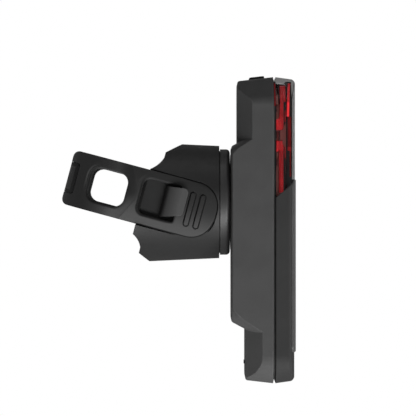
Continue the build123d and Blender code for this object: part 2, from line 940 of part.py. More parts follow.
def sensor_post_places():
    """Where the antenna board rests on its posts."""
    y = sensor_board_half_width - sensor_post_inset
    heights = (sensor_board_top - sensor_post_inset, sensor_board_bottom + sensor_post_inset)
    return [(side * y, z) for side in (-1, 1) for z in heights]


def make_front_panel():
    """Raised plain panel, bowed like the front."""
    reach = cover_front - hump_back
    prism = extrude(body_plane(hump_back) * panel_outline(0), amount=2 * reach)
    skin = prism & crown_prism(panel_front, 0)
    return skin - crown_prism(cover_front - panel_seat_depth, 0)


def make_bayonet_plate():
    """The light's quarter-turn boss: a flange let into the hump, a boss and two tabs."""
    body = disc(hump_back, hump_back + bayonet_flange_thickness, bayonet_flange_radius)
    body = body + disc(boss_back, hump_back, boss_radius)
    for middle in (0, 180):
        tab = sector(tab_radius, middle - tab_half_angle, middle + tab_half_angle)
        body = body + extrude(bayonet_plane(tab_back) * tab, amount=tab_thickness)
    for y, z in ring_places(bayonet_screw_circle):
        body = body - countersunk(y, bayonet_height + z, screw_clearance)
    return body


def countersunk(y, z, grow):
    """A countersunk screw's solid, or its hole when grown."""
    cone = Plane(origin=(hump_back, y, z), z_dir=(1, 0, 0)) * Cone(
        bayonet_screw_head_radius + grow,
        bayonet_screw_radius + grow,
        bayonet_screw_head_depth,
        align=(Align.CENTER, Align.CENTER, Align.MIN),
    )
    return cone + rod(hump_back, hump_back + bayonet_pad_depth, y, z, bayonet_screw_radius + grow)


def make_bayonet_screws():
    """Four countersunk screws that hold the quarter-turn boss."""
    screws = []
    for y, z in ring_places(bayonet_screw_circle):
        screw = countersunk(y, bayonet_height + z, 0)
        recess = body_plane(hump_back) * Pos(y, bayonet_height + z) * RegularPolygon(
            bayonet_screw_radius * (1 - socket_recess_share / 2), 6
        )
        screws.append(screw - extrude(recess, amount=bayonet_screw_head_depth * socket_recess_share))
    return Compound(children=screws)


def make_housing_screws():
    """Four screws from the back through the rear shell's bosses into the front."""
    screws = []
    seat = rear_rim - housing_boss_radius
    for y, z in housing_screw_places():
        screws.append(
            socket_screw(
                seat - housing_screw_head_height,
                y,
                z,
                housing_screw_head_radius,
                housing_screw_head_height,
                housing_screw_radius,
                housing_screw_length,
                1,
            )
        )
    return Compound(children=screws)


def make_board_screws():
    """Four screws that hold the main board on its posts."""
    screws = []
    for y, z in board_screw_places():
        screws.append(
            socket_screw(
                board_front + board_screw_head_height,
                y,
                z,
                board_screw_head_radius,
                board_screw_head_height,
                board_screw_radius,
                board_thickness + board_screw_length - screw_clearance,
                -1,
            )
        )
    return Compound(children=screws)


def make_battery():
    """Flat cell behind the main board."""
    back = hump_back + bayonet_pad_depth + battery_seat_gap
    cell = block(
        back,
        back + battery_thickness,
        0,
        battery_top - battery_length / 2,
        battery_width,
        battery_length,
    )
    return fillet(cell.edges(), battery_round)


def make_battery_pad():
    """Foam between the cell and the board."""
    front_of_cell = hump_back + bayonet_pad_depth + battery_seat_gap + battery_thickness
    return block(
        front_of_cell,
        board_back,
        0,
        battery_top - battery_length / 2,
        battery_width - battery_pad_margin,
        battery_length - battery_pad_margin,
    )


def make_main_board():
    """Main circuit board, cut round the bosses, the button and the port."""
    slab = block(board_back, board_front, 0, body_middle, body_width, body_height)
    board = rear_form(body_wall + board_edge_gap) & slab
    for y, z in housing_screw_places():
        board = board - rod(board_back - overrun, board_front + overrun, y, z, housing_boss_radius + board_edge_gap)
    for y, z in board_screw_places():
        board = board - rod(board_back - overrun, board_front + overrun, y, z, board_screw_radius + screw_clearance)
    board = board - button_prism(button_side_gap + boot_wall + boot_lip + board_edge_gap, -2 * body_wall, overrun)
    chip = block(board_front, board_front + chip_thickness, 0, bayonet_height, chip_size, chip_size)
    slot = block(
        board_back - overrun,
        board_front + overrun,
        0,
        port_height,
        port_shell_width + 2 * screw_clearance,
        port_shell_height + 2 * screw_clearance,
    )
    return board + chip - slot


def make_sensor_board():
    """Antenna board behind the plain panel, with a grid of patches."""
    board = block(
        sensor_board_front - sensor_board_thickness,
        sensor_board_front,
        0,
        (sensor_board_top + sensor_board_bottom) / 2,
        2 * sensor_board_half_width,
        sensor_board_top - sensor_board_bottom,
    )
    middle = (sensor_board_top + sensor_board_bottom) / 2
    for row in (-1, 0, 1):
        for column in (-0.5, 0.5):
            board = board + block(
                sensor_board_front - sensor_board_thickness / 2,
                sensor_board_front + patch_thickness,
                column * patch_pitch,
                middle + row * patch_pitch,
                patch_size,
                patch_size,
            )
    return board


def optic_outline(inset):
    """The lens compartment's outline, down to the slanted joint."""
    outline = body_outline(inset)
    below = Pos(0, optic_bottom - body_height / 2) * Rectangle(body_width, body_height)
    return outline - below


def make_led_board():
    """Circuit board that carries the LEDs."""
    inset = body_wall + seal_width + optic_side_gap
    board = extrude(body_plane(led_board_back) * optic_outline(inset), amount=led_board_thickness)
    for y, z in front_bosses(True):
        board = board - rod(
            led_board_back - overrun, frame_back + overrun, y, z, housing_boss_radius + board_edge_gap
        )
    return board


def led_heights():
    """Heights of the three middle LEDs."""
    return [optic_centre + step * led_pitch for step in (-1, 0, 1)]


def side_led_heights():
    """Heights of the LEDs behind each light guide."""
    return [optic_centre + step * side_led_pitch for step in (-1, 0, 1)]


def guide_inset():
    """How far the light guides' outer side lies inside the body's outline."""
    return body_wall + optic_side_gap + (guide_front - front_rim) * tan(radians(front_draft))


def guide_middle():
    """How far the straight part of a light guide is from the light's middle."""
    return body_half - guide_inset() - guide_width / 2


def make_front_leds():
    """Three LEDs behind the collimators."""
    leds = [block(frame_back, frame_back + led_thickness, 0, z, led_size, led_size) for z in led_heights()]
    return Compound(children=leds)


def make_side_leds():
    """Three LEDs behind each light guide."""
    leds = []
    for side in (-1, 1):
        for z in side_led_heights():
            leds.append(
                block(
                    frame_back, frame_back + led_thickness, side * guide_middle(), z, side_led_size, side_led_size
                )
            )
    return Compound(children=leds)


def make_optic_frame():
    """Dark frame over the LED board, with a window for each LED and a round-ended tower at each side."""
    inset = body_wall + seal_width + optic_side_gap
    frame = extrude(body_plane(frame_back) * optic_outline(inset), amount=frame_thickness)
    for z in led_heights():
        frame = frame - rod(frame_back - overrun, frame_front + overrun, 0, z, led_size)
    for z in side_led_heights():
        for side in (-1, 1):
            frame = frame - block(
                frame_back - overrun,
                frame_front + overrun,
                side * guide_middle(),
                z,
                side_led_size + 4 * screw_clearance,
                side_led_size + 4 * screw_clearance,
            )
    for y, z in front_bosses(True):
        frame = frame - rod(frame_back - overrun, frame_front + overrun, y, z, front_boss_radius + screw_clearance)
    for side in (-1, 1):
        tower_middle = guide_middle() - guide_width / 2 - capsule_guide_gap - capsule_width / 2
        tower = body_plane(frame_front) * Pos(side * tower_middle, optic_centre)
        pill = RectangleRounded(capsule_width, 2 * capsule_half_height, capsule_corner)
        frame = frame + extrude(tower * pill, amount=capsule_front - frame_front)
    return frame


def guide_side():
    """The light guide's side view: a band, two blocks over the side LEDs and a thin neck between them."""
    upper_start, upper_end = guide_upper_block
    lower_start, lower_end = guide_lower_block
    band_back = frame_front + guide_band_step
    neck = frame_front + guide_neck_depth
    foot = optic_bottom + guide_end_gap
    with BuildSketch(Plane.XZ) as side:
        Polygon(
            (band_back, body_top),
            (guide_front, body_top),
            (guide_front, optic_centre + guide_upper_slant_top),
            (guide_front - guide_front_slant, optic_centre + upper_start),
            (neck, optic_centre + upper_start),
            (neck, optic_centre - lower_start),
            (guide_front - guide_front_slant, optic_centre - lower_start),
            (guide_front - guide_front_slant, optic_centre - guide_lower_bar),
            (guide_front, optic_centre - guide_lower_slant_end),
            (guide_front, foot),
            (frame_front + guide_foot_step, foot),
            (frame_front + guide_foot_step, foot + guide_foot_height),
            (band_back, foot + guide_foot_height),
            (band_back, optic_centre - lower_end),
            (frame_front, optic_centre - lower_end),
            (frame_front, optic_centre + upper_end),
            (band_back, optic_centre + upper_end),
            align=None,
        )
    return across(side.sketch, body_width)


def make_light_guide(side):
    """Red light guide up one side of the lens and over to its middle, on two blocks over the side LEDs."""
    ring = body_outline(guide_inset()) - body_outline(guide_inset() + guide_width)
    half = Pos(side * (guide_half_gap + body_half / 2), optic_bottom + guide_end_gap + body_height / 2)
    ring = ring & half * Rectangle(body_half, body_height)
    bar = extrude(body_plane(frame_front) * ring, amount=guide_front - frame_front)
    return bar & guide_side()


def make_centre_lens():
    """Plate with three collimators, one over each middle LED."""
    front = lens_front - body_wall - optic_side_gap
    length = 2 * (led_pitch + collimator_plate_half_width)
    plate = block(
        front - collimator_plate_thickness, front, 0, optic_centre, 2 * collimator_plate_half_width, length
    )
    back = frame_back + led_thickness + collimator_back_gap
    for z in led_heights():
        cup = Plane(origin=(back, 0, z), z_dir=(1, 0, 0)) * Cone(
            collimator_back_radius,
            collimator_front_radius,
            front - collimator_plate_thickness / 2 - back,
            align=(Align.CENTER, Align.CENTER, Align.MIN),
        )
        plate = plate + cup
    return plate


def make_usb_socket():
    """Charging socket: an open shell with a tongue."""
    front = board_front + port_shell_wall
    back = front - port_shell_length
    face = RectangleRounded(port_shell_width, port_shell_height, port_shell_corner)
    hollow = RectangleRounded(
        port_shell_width - 2 * port_shell_wall,
        port_shell_height - 2 * port_shell_wall,
        port_shell_corner - port_shell_wall,
    )
    shell = extrude(body_plane(back) * Pos(0, port_height) * face, amount=port_shell_length)
    shell = shell - extrude(
        body_plane(back - overrun) * Pos(0, port_height) * hollow, amount=port_shell_length - port_shell_wall + overrun
    )
    tongue = block(back + port_shell_wall, front, 0, port_height, port_tongue_width, port_tongue_thickness)
    return shell + tongue


def make_port_cover():
    """Rubber flap with a round hinge edge, a plug and a finger grip."""
    mid_depth = lower_back + flap_thickness / 2
    top = port_height + flap_height / 2
    plate = extrude(body_plane(lower_back) * flap_recess(0), amount=flap_thickness)
    trim = block(
        lower_back - overrun,
        lower_back + flap_thickness + overrun,
        0,
        top,
        flap_width + overrun,
        flap_thickness,
    )
    edge = extrude(
        Plane(origin=(mid_depth, 0, top - flap_thickness / 2), z_dir=(0, 1, 0)) * Circle(flap_thickness / 2),
        amount=flap_width / 2 - flap_corner,
        both=True,
    )
    plug_outline = RectangleRounded(
        port_opening_width - 2 * flap_plug_gap,
        port_opening_height - 2 * flap_plug_gap,
        port_opening_corner - flap_plug_gap,
    )
    plug = extrude(
        body_plane(lower_back + flap_thickness / 2) * Pos(0, port_height) * plug_outline,
        amount=flap_thickness / 2 + flap_plug_depth,
    )
    grip = block(
        lower_back - flap_grip_rise,
        lower_back + flap_thickness / 2,
        0,
        port_height - flap_height / 2 + 2 * flap_grip_height,
        flap_grip_width,
        flap_grip_height,
    )
    return plate - trim + edge + plug + grip


def make_power_button():
    """Button with a short stem over the switch."""
    cap = button_prism(0, -body_wall, button_rise)
    cap = fillet(cap.faces().sort_by(Axis.Z)[-1].edges(), button_edge_round)
    stem = button_frame() * Pos(0, 0, -body_wall - button_stem_length) * Cylinder(
        button_stem_radius,
        button_stem_length + body_wall / 2,
        align=(Align.CENTER, Align.CENTER, Align.MIN),
    )
    return cap + stem


def make_button_boot():
    """Rubber lining of the button's hole, with a lip under the wall."""
    sleeve = button_prism(button_side_gap + boot_wall, -body_wall - boot_lip_thickness, 0)
    lip = button_prism(button_side_gap + boot_wall + boot_lip, -body_wall - boot_lip_thickness, -body_wall)
    return sleeve + lip - button_prism(button_side_gap, -3 * body_wall, overrun)


def make_power_switch():
    """Tactile switch under the button, with its round plunger."""
    depth = body_wall + button_stem_length + button_travel + plunger_gap
    case_top = -depth - plunger_height
    case = Pos(0, 0, case_top - switch_height) * extrude(Rectangle(switch_depth, switch_width), amount=switch_height)
    plunger = Pos(0, 0, case_top) * extrude(Circle(plunger_radius), amount=plunger_height)
    switch = button_frame() * (case + plunger)
    bracket = block(
        (button_back + button_front) / 2,
        board_back,
        0,
        body_top - switch_bracket_drop + switch_bracket_height / 2,
        switch_width,
        switch_bracket_height,
    )
    return switch + bracket


pieces = {
    "strap": make_strap(),
    "mount_body": make_mount_body(),
    "saddle_pad": make_saddle_pad(),
    "socket_insert": make_socket_insert(),
    "insert_screws": make_insert_screws(),
    "rear_housing": make_rear_housing(),
    "front_lens": make_front_lens(),
    "front_cover": make_front_cover(),
    "front_panel": make_front_panel(),
    "body_seal": seal_ring(0),
    "bayonet_plate": make_bayonet_plate(),
    "bayonet_screws": make_bayonet_screws(),
    "housing_screws": make_housing_screws(),
    "board_screws": make_board_screws(),
    "battery": make_battery(),
    "battery_pad": make_battery_pad(),
    "main_board": make_main_board(),
    "sensor_board": make_sensor_board(),
    "led_board": make_led_board(),
    "front_leds": make_front_leds(),
    "side_leds": make_side_leds(),
    "optic_frame": make_optic_frame(),
    "light_guide_left": make_light_guide(1),
    "light_guide_right": make_light_guide(-1),
    "centre_lens": make_centre_lens(),
    "usb_socket": make_usb_socket(),
    "port_cover": make_port_cover(),
    "power_button": make_power_button(),
    "button_boot": make_button_boot(),
    "power_switch": make_power_switch(),
}

for name, piece in pieces.items():
    export_step(piece, f"parts/{name}.step")
    box = piece.bounding_box()
    print(name, [round(value, 2) for value in (*box.min, *box.max)])
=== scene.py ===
# %% [markdown]
# # A bike rear light on its seat-post mount
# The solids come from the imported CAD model, and this file gives them their looks: finishes, the
# small optical parts behind the clear lens, a floor, lamps and a camera. Each step below says
# first what the real thing is like, and then how it is made here.

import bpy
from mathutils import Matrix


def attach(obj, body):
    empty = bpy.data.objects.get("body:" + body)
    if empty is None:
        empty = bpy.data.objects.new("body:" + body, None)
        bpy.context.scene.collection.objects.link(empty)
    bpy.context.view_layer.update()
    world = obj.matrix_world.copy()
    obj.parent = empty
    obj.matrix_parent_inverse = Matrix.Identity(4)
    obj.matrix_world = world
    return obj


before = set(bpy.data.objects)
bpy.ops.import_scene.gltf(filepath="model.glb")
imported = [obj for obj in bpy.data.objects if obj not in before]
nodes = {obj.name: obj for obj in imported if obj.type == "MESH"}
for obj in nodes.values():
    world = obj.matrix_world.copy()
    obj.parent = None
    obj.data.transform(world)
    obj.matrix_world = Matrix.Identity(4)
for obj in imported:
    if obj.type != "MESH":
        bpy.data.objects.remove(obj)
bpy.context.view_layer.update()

# %% Tools that the whole file uses
from math import cos, pi, radians, sin

import bmesh
import bpy
from mathutils import Matrix, Vector

MM = 0.001
POST_LEAN = radians(15)


def hue(level, warm=0.0):
    """A grey of one linear level, a little warm or cool."""
    return (level * (1 + warm), level, level * (1 - 0.1 * warm), 1.0)


def share_of(colour, share):
    """A darker colour of the same hue."""
    return tuple(channel * share for channel in colour[:3]) + (1.0,)


def tell(kind, made):
    """Prints the names of what a cell made."""
    print(kind + ":", ", ".join(thing.name for thing in made))


print("one millimetre is", MM)

# %% [markdown]
# ## Shader maths as expressions
# A node tree is easier to read as a sum than as a web of boxes. This class wraps one output
# socket, so that `1 - mask` or `grain * 0.3` adds the Math node that does it. Every other kind of
# node comes from one method, which takes the values or links of its sockets, and its settings by
# name.

# %% The socket class
# Where a Mix node keeps its factor, its two colours and the mixed colour.
MIX_FACTOR, MIX_DARK, MIX_LIGHT, MIX_RESULT = 0, 6, 7, 2


class Wire:
    """One output of a node tree, with the arithmetic that the finishes use."""

    def __init__(self, tree, socket=None):
        self.tree = tree
        self.socket = socket

    def node(self, kind, inputs=None, output=0, **settings):
        """Adds a node with its settings and its sockets' values or links, and gives one output."""
        made = self.tree.nodes.new(kind)
        for name, value in settings.items():
            setattr(made, name, value)
        for name, value in (inputs or {}).items():
            if isinstance(value, Wire):
                self.tree.links.new(value.socket, made.inputs[name])
            else:
                made.inputs[name].default_value = value
        return Wire(self.tree, made.outputs[output])

    def maths(self, operation, *values):
        return self.node("ShaderNodeMath", dict(enumerate(values)), operation=operation)

    def __add__(self, other):
        return self.maths("ADD", self, other)

    def __radd__(self, other):
        return self.maths("ADD", other, self)

    def __mul__(self, other):
        return self.maths("MULTIPLY", self, other)

    def __rmul__(self, other):
        return self.maths("MULTIPLY", other, self)

    def __sub__(self, other):
        return self.maths("SUBTRACT", self, other)

    def __rsub__(self, other):
        return self.maths("SUBTRACT", other, self)

    def size(self):
        return self.maths("ABSOLUTE", self)

    def root(self):
        return self.maths("SQRT", self)

    def above(self, floor):
        """This value, or the floor where that is higher."""
        return self.maths("MAXIMUM", self, floor)

    def clip(self, low, high):
        """0 below low, 1 above high, and smooth between."""
        return self.node(
            "ShaderNodeMapRange",
            {"Value": self, "From Min": low, "From Max": high},
            interpolation_type="SMOOTHSTEP",
        )

    def clip_mm(self, low, high):
        """The same for a value in metres, between two lengths in millimetres."""
        return self.clip(low * MM, high * MM)

    def tint(self, dark, light):
        """A colour between two, by this value."""
        inputs = {MIX_FACTOR: self, MIX_DARK: dark, MIX_LIGHT: light}
        return self.node("ShaderNodeMix", inputs, output=MIX_RESULT, data_type="RGBA")


print("wire ready")

# %% [markdown]
# ## What every finish starts from
# A moulded part never shows one flat colour. Its surface has the fine grain of the eroded steel
# mould, its colour drifts a little over the length, and its edges are rounded, so they catch
# light, and rub paler with use. `Finish` sets up a Principled shader and offers `grain` and
# `specks` for the skin, `edge` for the edges, which the finishes paint paler as wear and as
# painted highlight, and `outside` for lines that follow a moulded outline. All of them read
# Object coordinates in metres, so a size in millimetres is a real size on the part.

# %% The base of a finish
# How far the rounded normal has to leave the surface's own for an edge to begin and to be full.
EDGE_BEGINS = 0.02
EDGE_FULL = 0.25


class Finish:
    """A material in the making: its Principled shader, its coordinates and its usual patterns."""

    def __init__(self, name, **constants):
        self.material = bpy.data.materials.new(name)
        self.material.use_nodes = True
        tree = self.material.node_tree
        tree.nodes.clear()
        self.wire = Wire(tree)
        self.shader = tree.nodes.new("ShaderNodeBsdfPrincipled")
        self.output = tree.nodes.new("ShaderNodeOutputMaterial")
        tree.links.new(self.shader.outputs[0], self.output.inputs[0])
        for socket, value in constants.items():
            self.shader.inputs[socket.replace("_", " ")].default_value = value
        self.place = self.wire.node("ShaderNodeTexCoord", output="Object")

    def feed(self, **links):
        """Links values to the shader's sockets."""
        for socket, value in links.items():
            self.wire.tree.links.new(value.socket, self.shader.inputs[socket.replace("_", " ")])

    def mapped(self, **changes):
        """The place on the part, turned or stretched."""
        return self.wire.node("ShaderNodeMapping", {"Vector": self.place, **changes})

    def beside_post(self):
        """The place on the part in the frame of the post, which leans back."""
        return self.mapped(Rotation=(0, -POST_LEAN, 0))

    def grain(self, size, detail=2.0, stretch=None):
        """Cloudy noise of one feature size in millimetres, stretched along an axis where asked."""
        place = self.mapped(Scale=stretch) if stretch else self.place
        return self.wire.node(
            "ShaderNodeTexNoise", {"Vector": place, "Scale": 1 / (size * MM), "Detail": detail}
        )

    def specks(self, size):
        """Distance to scattered points, for pits and dust."""
        return self.wire.node(
            "ShaderNodeTexVoronoi", {"Vector": self.place, "Scale": 1 / (size * MM)}
        )

    def axis(self, name):
        """One coordinate of the place on the part, in metres."""
        return self.wire.node("ShaderNodeSeparateXYZ", {0: self.place}, output=name)

    def leaning(self, name):
        """One coordinate in the post's frame, in metres."""
        return self.wire.node("ShaderNodeSeparateXYZ", {0: self.beside_post()}, output=name)

    def outside(self, start, end, bottom, top, corner):
        """Distance in millimetres outside a rounded rectangle, drawn beside the post."""
        beyond = []
        for name, low, high in (("X", start, end), ("Z", bottom, top)):
            from_middle = (self.leaning(name) * (1 / MM) - (low + high) / 2).size()
            beyond.append((from_middle - ((high - low) / 2 - corner)).above(0.0))
        along, up = beyond
        return (along * along + up * up).root() - corner

    def rounded(self, radius):
        """The normal with the edges rounded by a radius in millimetres."""
        return self.wire.node("ShaderNodeBevel", {"Radius": radius * MM}, samples=6)

    def edge(self, rounded, keen=1.0):
        """A mask of the edges. A keen one finds flat edges too."""
        own = self.wire.node("ShaderNodeNewGeometry", output="Normal")
        same = self.wire.node(
            "ShaderNodeVectorMath", {0: rounded, 1: own}, output="Value", operation="DOT_PRODUCT"
        )
        return (1 - same).clip(EDGE_BEGINS / keen, EDGE_FULL / keen)

    def relief(self, height, depth, normal=None):
        """A bump of one depth in millimetres, on the rounded normal where there is one."""
        inputs = {"Strength": 1.0, "Distance": depth * MM, "Height": height}
        if normal:
            inputs["Normal"] = normal
        self.feed(Normal=self.wire.node("ShaderNodeBump", inputs))


print("finish ready")

# %% [markdown]
# ## Moulded plastics
# Housing, mount, socket and cover are glass-filled nylon and polycarbonate in dark greys that are
# close but not the same. In the picture the raised panel and the rear shell are the palest, the
# lower cover is darker, the mount is nearly black, and the socket disc shines most. One function
# makes them all from a grey, a roughness and a grain, because the mould gives them all the same
# kind of skin. The flanks of the barrel and of the lens' frame catch more light than their
# fronts, so those two get a paler level painted where they are widest, as painted light, and the
# frame's warm tint is painted red light from the guides. Pale edges are rubbed wear, and on the
# housing they are strong enough to be painted highlights along its moulded edges.

# %% Moulded plastic
# The sizes are in millimetres, and each level is a multiple of the plastic's own grey.
CLOUD_SIZE = 9.0
HANDLING_SIZE = 2.2
DRIFT = 0.07
DUST_LEVEL = 1.7
RUBBED_AND_HIGHLIGHT_LEVEL = 2.2


def moulded(name, level, rough, grain_size=0.16, grain_depth=0.006, wear_and_highlight=0.5, warm=0.0, shine=0.3,
            sides=None, edge_round=0.22, keen=1.0):
    """A moulded plastic: grain, drift, rubbed edges with a painted highlight, and painted flank
    light.
    """
    finish = Finish(name, Specular_IOR_Level=shine)
    rounded = finish.rounded(edge_round)
    edge = finish.edge(rounded, keen)
    fine = finish.grain(grain_size)
    cloud = finish.grain(CLOUD_SIZE, 3.0)
    handled = finish.grain(HANDLING_SIZE, 4.0).clip(0.45, 0.75)
    body = cloud.clip(0.3, 0.7).tint(
        hue(level * (1 - DRIFT), warm), hue(level * (1 + DRIFT), warm)
    )
    # Painted light: where asked, the flanks are painted paler, as if lit more than the fronts.
    if sides:
        start, end, flank_light_lift = sides
        painted_flank = finish.axis("Y").size().clip_mm(start, end)
        body = painted_flank.tint(body, hue(level * flank_light_lift, warm))
    dusty = (fine.clip(0.62, 0.8) * 0.25).tint(body, hue(level * DUST_LEVEL, warm))
    # Rubbed wear on the edges, and where it is strong, a painted highlight along them too.
    rubbed_and_highlit = (edge * wear_and_highlight * (0.4 + 0.6 * handled)).tint(dusty, hue(level * RUBBED_AND_HIGHLIGHT_LEVEL, warm))
    roughness = rough + 0.06 * cloud + 0.05 * handled - 0.08 * edge
    finish.feed(Base_Color=rubbed_and_highlit, Roughness=roughness)
    finish.relief(fine, grain_depth, rounded)
    return finish.material


# Painted light: the barrel is painted five times paler on its widest flanks.
mount_plastic = moulded(
    "mount_plastic", 0.011, 0.50, grain_size=0.2, grain_depth=0.008, shine=0.34,
    sides=(17.6, 18.8, 5.0),
)
socket_plastic = moulded(
    "socket_plastic", 0.017, 0.48, grain_size=0.3, grain_depth=0.002, shine=0.62
)
# Painted highlight: the housing's keen, strong edge paling draws light lines along its moulded
# steps.
housing_plastic = moulded(
    "housing_plastic", 0.048, 0.60, wear_and_highlight=0.9, shine=0.36, edge_round=0.45, keen=8.0
)
cover_plastic = moulded(
    "cover_plastic", 0.022, 0.60, grain_depth=0.004, wear_and_highlight=0.9, shine=0.2, edge_round=0.35
)
panel_plastic = moulded("panel_plastic", 0.060, 0.42, grain_size=0.35, grain_depth=0.002)
frame_plastic = moulded("frame_plastic", 0.028, 0.6, grain_size=0.12, wear_and_highlight=0.1, shine=0.1)
# Painted light: the frame is tinted warm and painted eight times paler on its sides, as the
# guides' red light falling on it.
frame_painted_red_light = moulded(
    "frame_painted_red_light", 0.024, 0.6, grain_size=0.12, wear_and_highlight=0.1, warm=1.3, shine=0.1,
    sides=(13.4, 14.0, 8.0),
)
tell("moulded plastics", (mount_plastic, socket_plastic, housing_plastic, cover_plastic,
                          panel_plastic, frame_plastic, frame_painted_red_light))

# %% [markdown]
# ## Rubbers
# The strap is silicone: duller than the plastic, with a very fine skin, a few grains of dust, and
# paler on its edges where it has been bent. Its lower side is painted paler toward the flare, as
# painted light. Its sunk lines are moulded in: a moat round each grip rib and a sunk rim round
# each window, and a painted shadow runs along the tab's lower edge. They are drawn here as masks
# beside the post, which darken the colour as painted shade and press the surface in, and the
# windows' upper rims get a painted highlight. The pad between mount and post has fine ribs along
# the post, so that clamping doesn't let it turn. The ribs are far finer than a millimetre, so a
# bump gives them.

# %% Places of the strap's marks, in millimetres beside the post
RIB_PLACES = (24.9, 28.1)
RIB_HALF_WIDTH = 0.675
RIB_HALF_LENGTH = 5.3
# Each outline has its start and end along the strap, its bottom and top, and a corner radius.
TAB_OUTLINE = (-16.5, 33.3, -8.8, 8.8, 7.5)
BEND_WINDOW = (-7.8, 4.1, -5.3, 5.3, 3.0)
HOOK_WINDOW = (8.8, 20.7, -5.3, 6.0, 2.0)
# The strap flares along a slanted line, and painted light makes its lower side paler toward it.
FLARE_START = 8.0
FLARE_SLOPE = 0.475
PAINTED_LIGHT_BEGINS = -9.0
PAINTED_LIGHT_FULL = 4.0
print("ribs at", RIB_PLACES, "windows from", BEND_WINDOW[0], "and", HOOK_WINDOW[0])

# %% Rubber
# Each level is a multiple of the rubber's own grey.
STRETCHED_LEVEL = 2.0
PAINTED_LIGHT_LEVEL = 7.0
SUNK_SHADE_LEVEL = 0.16
DUSTY_LEVEL = 3.2


def strap_lines(finish):
    """Masks of the sunk lines with their painted shade, and of painted light: upper rims, lower
    side.
    """
    along, up = finish.leaning("X"), finish.leaning("Z")
    down = -1 * up

    # Painted shadow: the line under the tab shows only along its lower edge, beside the barrel.
    shadow_under_tab = finish.outside(*TAB_OUTLINE).clip(-0.45, -0.25)
    sunk_and_shaded = shadow_under_tab * along.clip_mm(8.0, 12.0) * down.clip_mm(0.0, 3.0)

    # A narrow moat runs round each grip rib, pressed in and painted dark as shade.
    for place in RIB_PLACES:
        away = finish.outside(
            place - RIB_HALF_WIDTH, place + RIB_HALF_WIDTH,
            -RIB_HALF_LENGTH, RIB_HALF_LENGTH, RIB_HALF_WIDTH,
        )
        sunk_and_shaded = away.clip(-0.08, 0.06) * (1 - away.clip(0.28, 0.46)) + sunk_and_shaded

    # Painted light: the lower side is painted paler, and most of all just before the strap flares.
    before_flare = 1 - (along - up * FLARE_SLOPE - FLARE_START * MM).clip_mm(-0.5, 0.5)
    near_flare = along.clip_mm(-2.0, PAINTED_LIGHT_FULL)
    painted_lower_light = along.clip_mm(PAINTED_LIGHT_BEGINS, PAINTED_LIGHT_FULL) * down.clip_mm(-1.0, 7.0)
    painted_light = painted_lower_light * (0.7 + before_flare * (0.25 + near_flare * 1.7))

    # Each window has a sunk rim with painted shade, darkest on its low side, and a painted
    # highlight on the rim's upper edges.
    upper = (up - along * 0.4).clip_mm(0.0, 6.0)
    for window in (BEND_WINDOW, HOOK_WINDOW):
        away = finish.outside(*window)
        middle = (window[0] + window[1]) / 2 * MM
        shaded_side = (middle - along - up).clip_mm(-3.0, 4.0)
        sunk_and_shaded = (1 - away.clip(0.4, 1.0)) * (0.3 + shaded_side * 0.7) + sunk_and_shaded
        outer_rim_highlight = away.clip(1.0, 1.2) * (1 - away.clip(1.4, 1.8))
        painted_light = outer_rim_highlight * upper * shaded_side * 1.6 + painted_light
        inner_rim_highlight = 1 - away.clip(0.25, 0.45)
        painted_light = inner_rim_highlight * upper * (1 - shaded_side) + painted_light
    return sunk_and_shaded, painted_light


def pad_lines(finish):
    """A mask of the sunk groove round the pad on the strap's bend, painted dark as shade. Nothing
    on it is paler.
    """
    ends = finish.axis("Y").size().clip_mm(7.5, 7.8)
    sides = finish.leaning("Z").size().clip_mm(3.6, 3.9)
    return ends.above(sides), None


def rubber(name, level, skin=0.1, ribs=0.0, lines=None, shine=0.42):
    """A matt rubber with dust and a fine skin, with ribs, or sunk lines with painted shade and
    light, where asked.
    """
    finish = Finish(name, Specular_IOR_Level=shine, Sheen_Weight=0.02, Sheen_Roughness=0.5)
    rounded = finish.rounded(0.3)
    fine = finish.grain(skin)
    cloud = finish.grain(6.0, 3.0)
    dust = (1 - finish.specks(1.4).clip(0.04, 0.16)) * finish.grain(3.0).clip(0.5, 0.7)
    body = cloud.clip(0.3, 0.7).tint(hue(level * 0.9), hue(level * 1.1))
    colour = (finish.edge(rounded) * 0.45).tint(body, hue(level * STRETCHED_LEVEL))
    roughness = 0.56 + 0.1 * cloud + 0.04 * fine
    height, depth = fine, 0.006
    if ribs:
        waves = finish.wire.node(
            "ShaderNodeTexWave",
            {"Vector": finish.beside_post(), "Scale": 1 / (ribs * MM * 2 * pi)},
            bands_direction="Y",
        )
        height, depth = fine * 0.2 + waves, 0.06
    if lines:
        # The lines bring painted light and painted shade; the shaded mask also presses the surface
        # in.
        sunk_and_shaded, painted_light = lines(finish)
        if painted_light:
            colour = (painted_light * 0.4).tint(colour, hue(level * PAINTED_LIGHT_LEVEL))
        colour = sunk_and_shaded.tint(colour, hue(level * SUNK_SHADE_LEVEL))
        roughness = roughness + sunk_and_shaded * 0.3
        height, depth = fine * 0.06 - sunk_and_shaded, 0.1
    dusty = (dust * 0.4).tint(colour, hue(level * DUSTY_LEVEL))
    finish.feed(Base_Color=dusty, Roughness=roughness)
    finish.relief(height, depth, rounded)
    return finish.material


strap_rubber = rubber("strap_rubber", 0.013, lines=strap_lines)
pad_rubber = rubber("pad_rubber", 0.014, ribs=0.5)
button_rubber = rubber("button_rubber", 0.016, skin=0.14)
pad_skin = rubber("strap_pad_rubber", 0.016, lines=pad_lines)
# Painted shade: a rubber darker than the strap's, for the windows' shaded inner rims.
rim_painted_shade = rubber("rim_painted_shade", 0.006, shine=0.1)
tell("rubbers", (strap_rubber, pad_rubber, button_rubber, pad_skin, rim_painted_shade))

# %% [markdown]
# ## Clear and red optics
# The lens is clear polycarbonate, a little smoky, so it is mostly transmission with a faint
# ripple from the mould. Its top, its front face and the border round that face look darker,
# because light crosses more plastic there. The light guides behind it are red acrylic. They are
# given a faint emission, a painted glow, and painted light makes their edges, streaks and strips
# between two heights brighter, which is just what the picture shows.

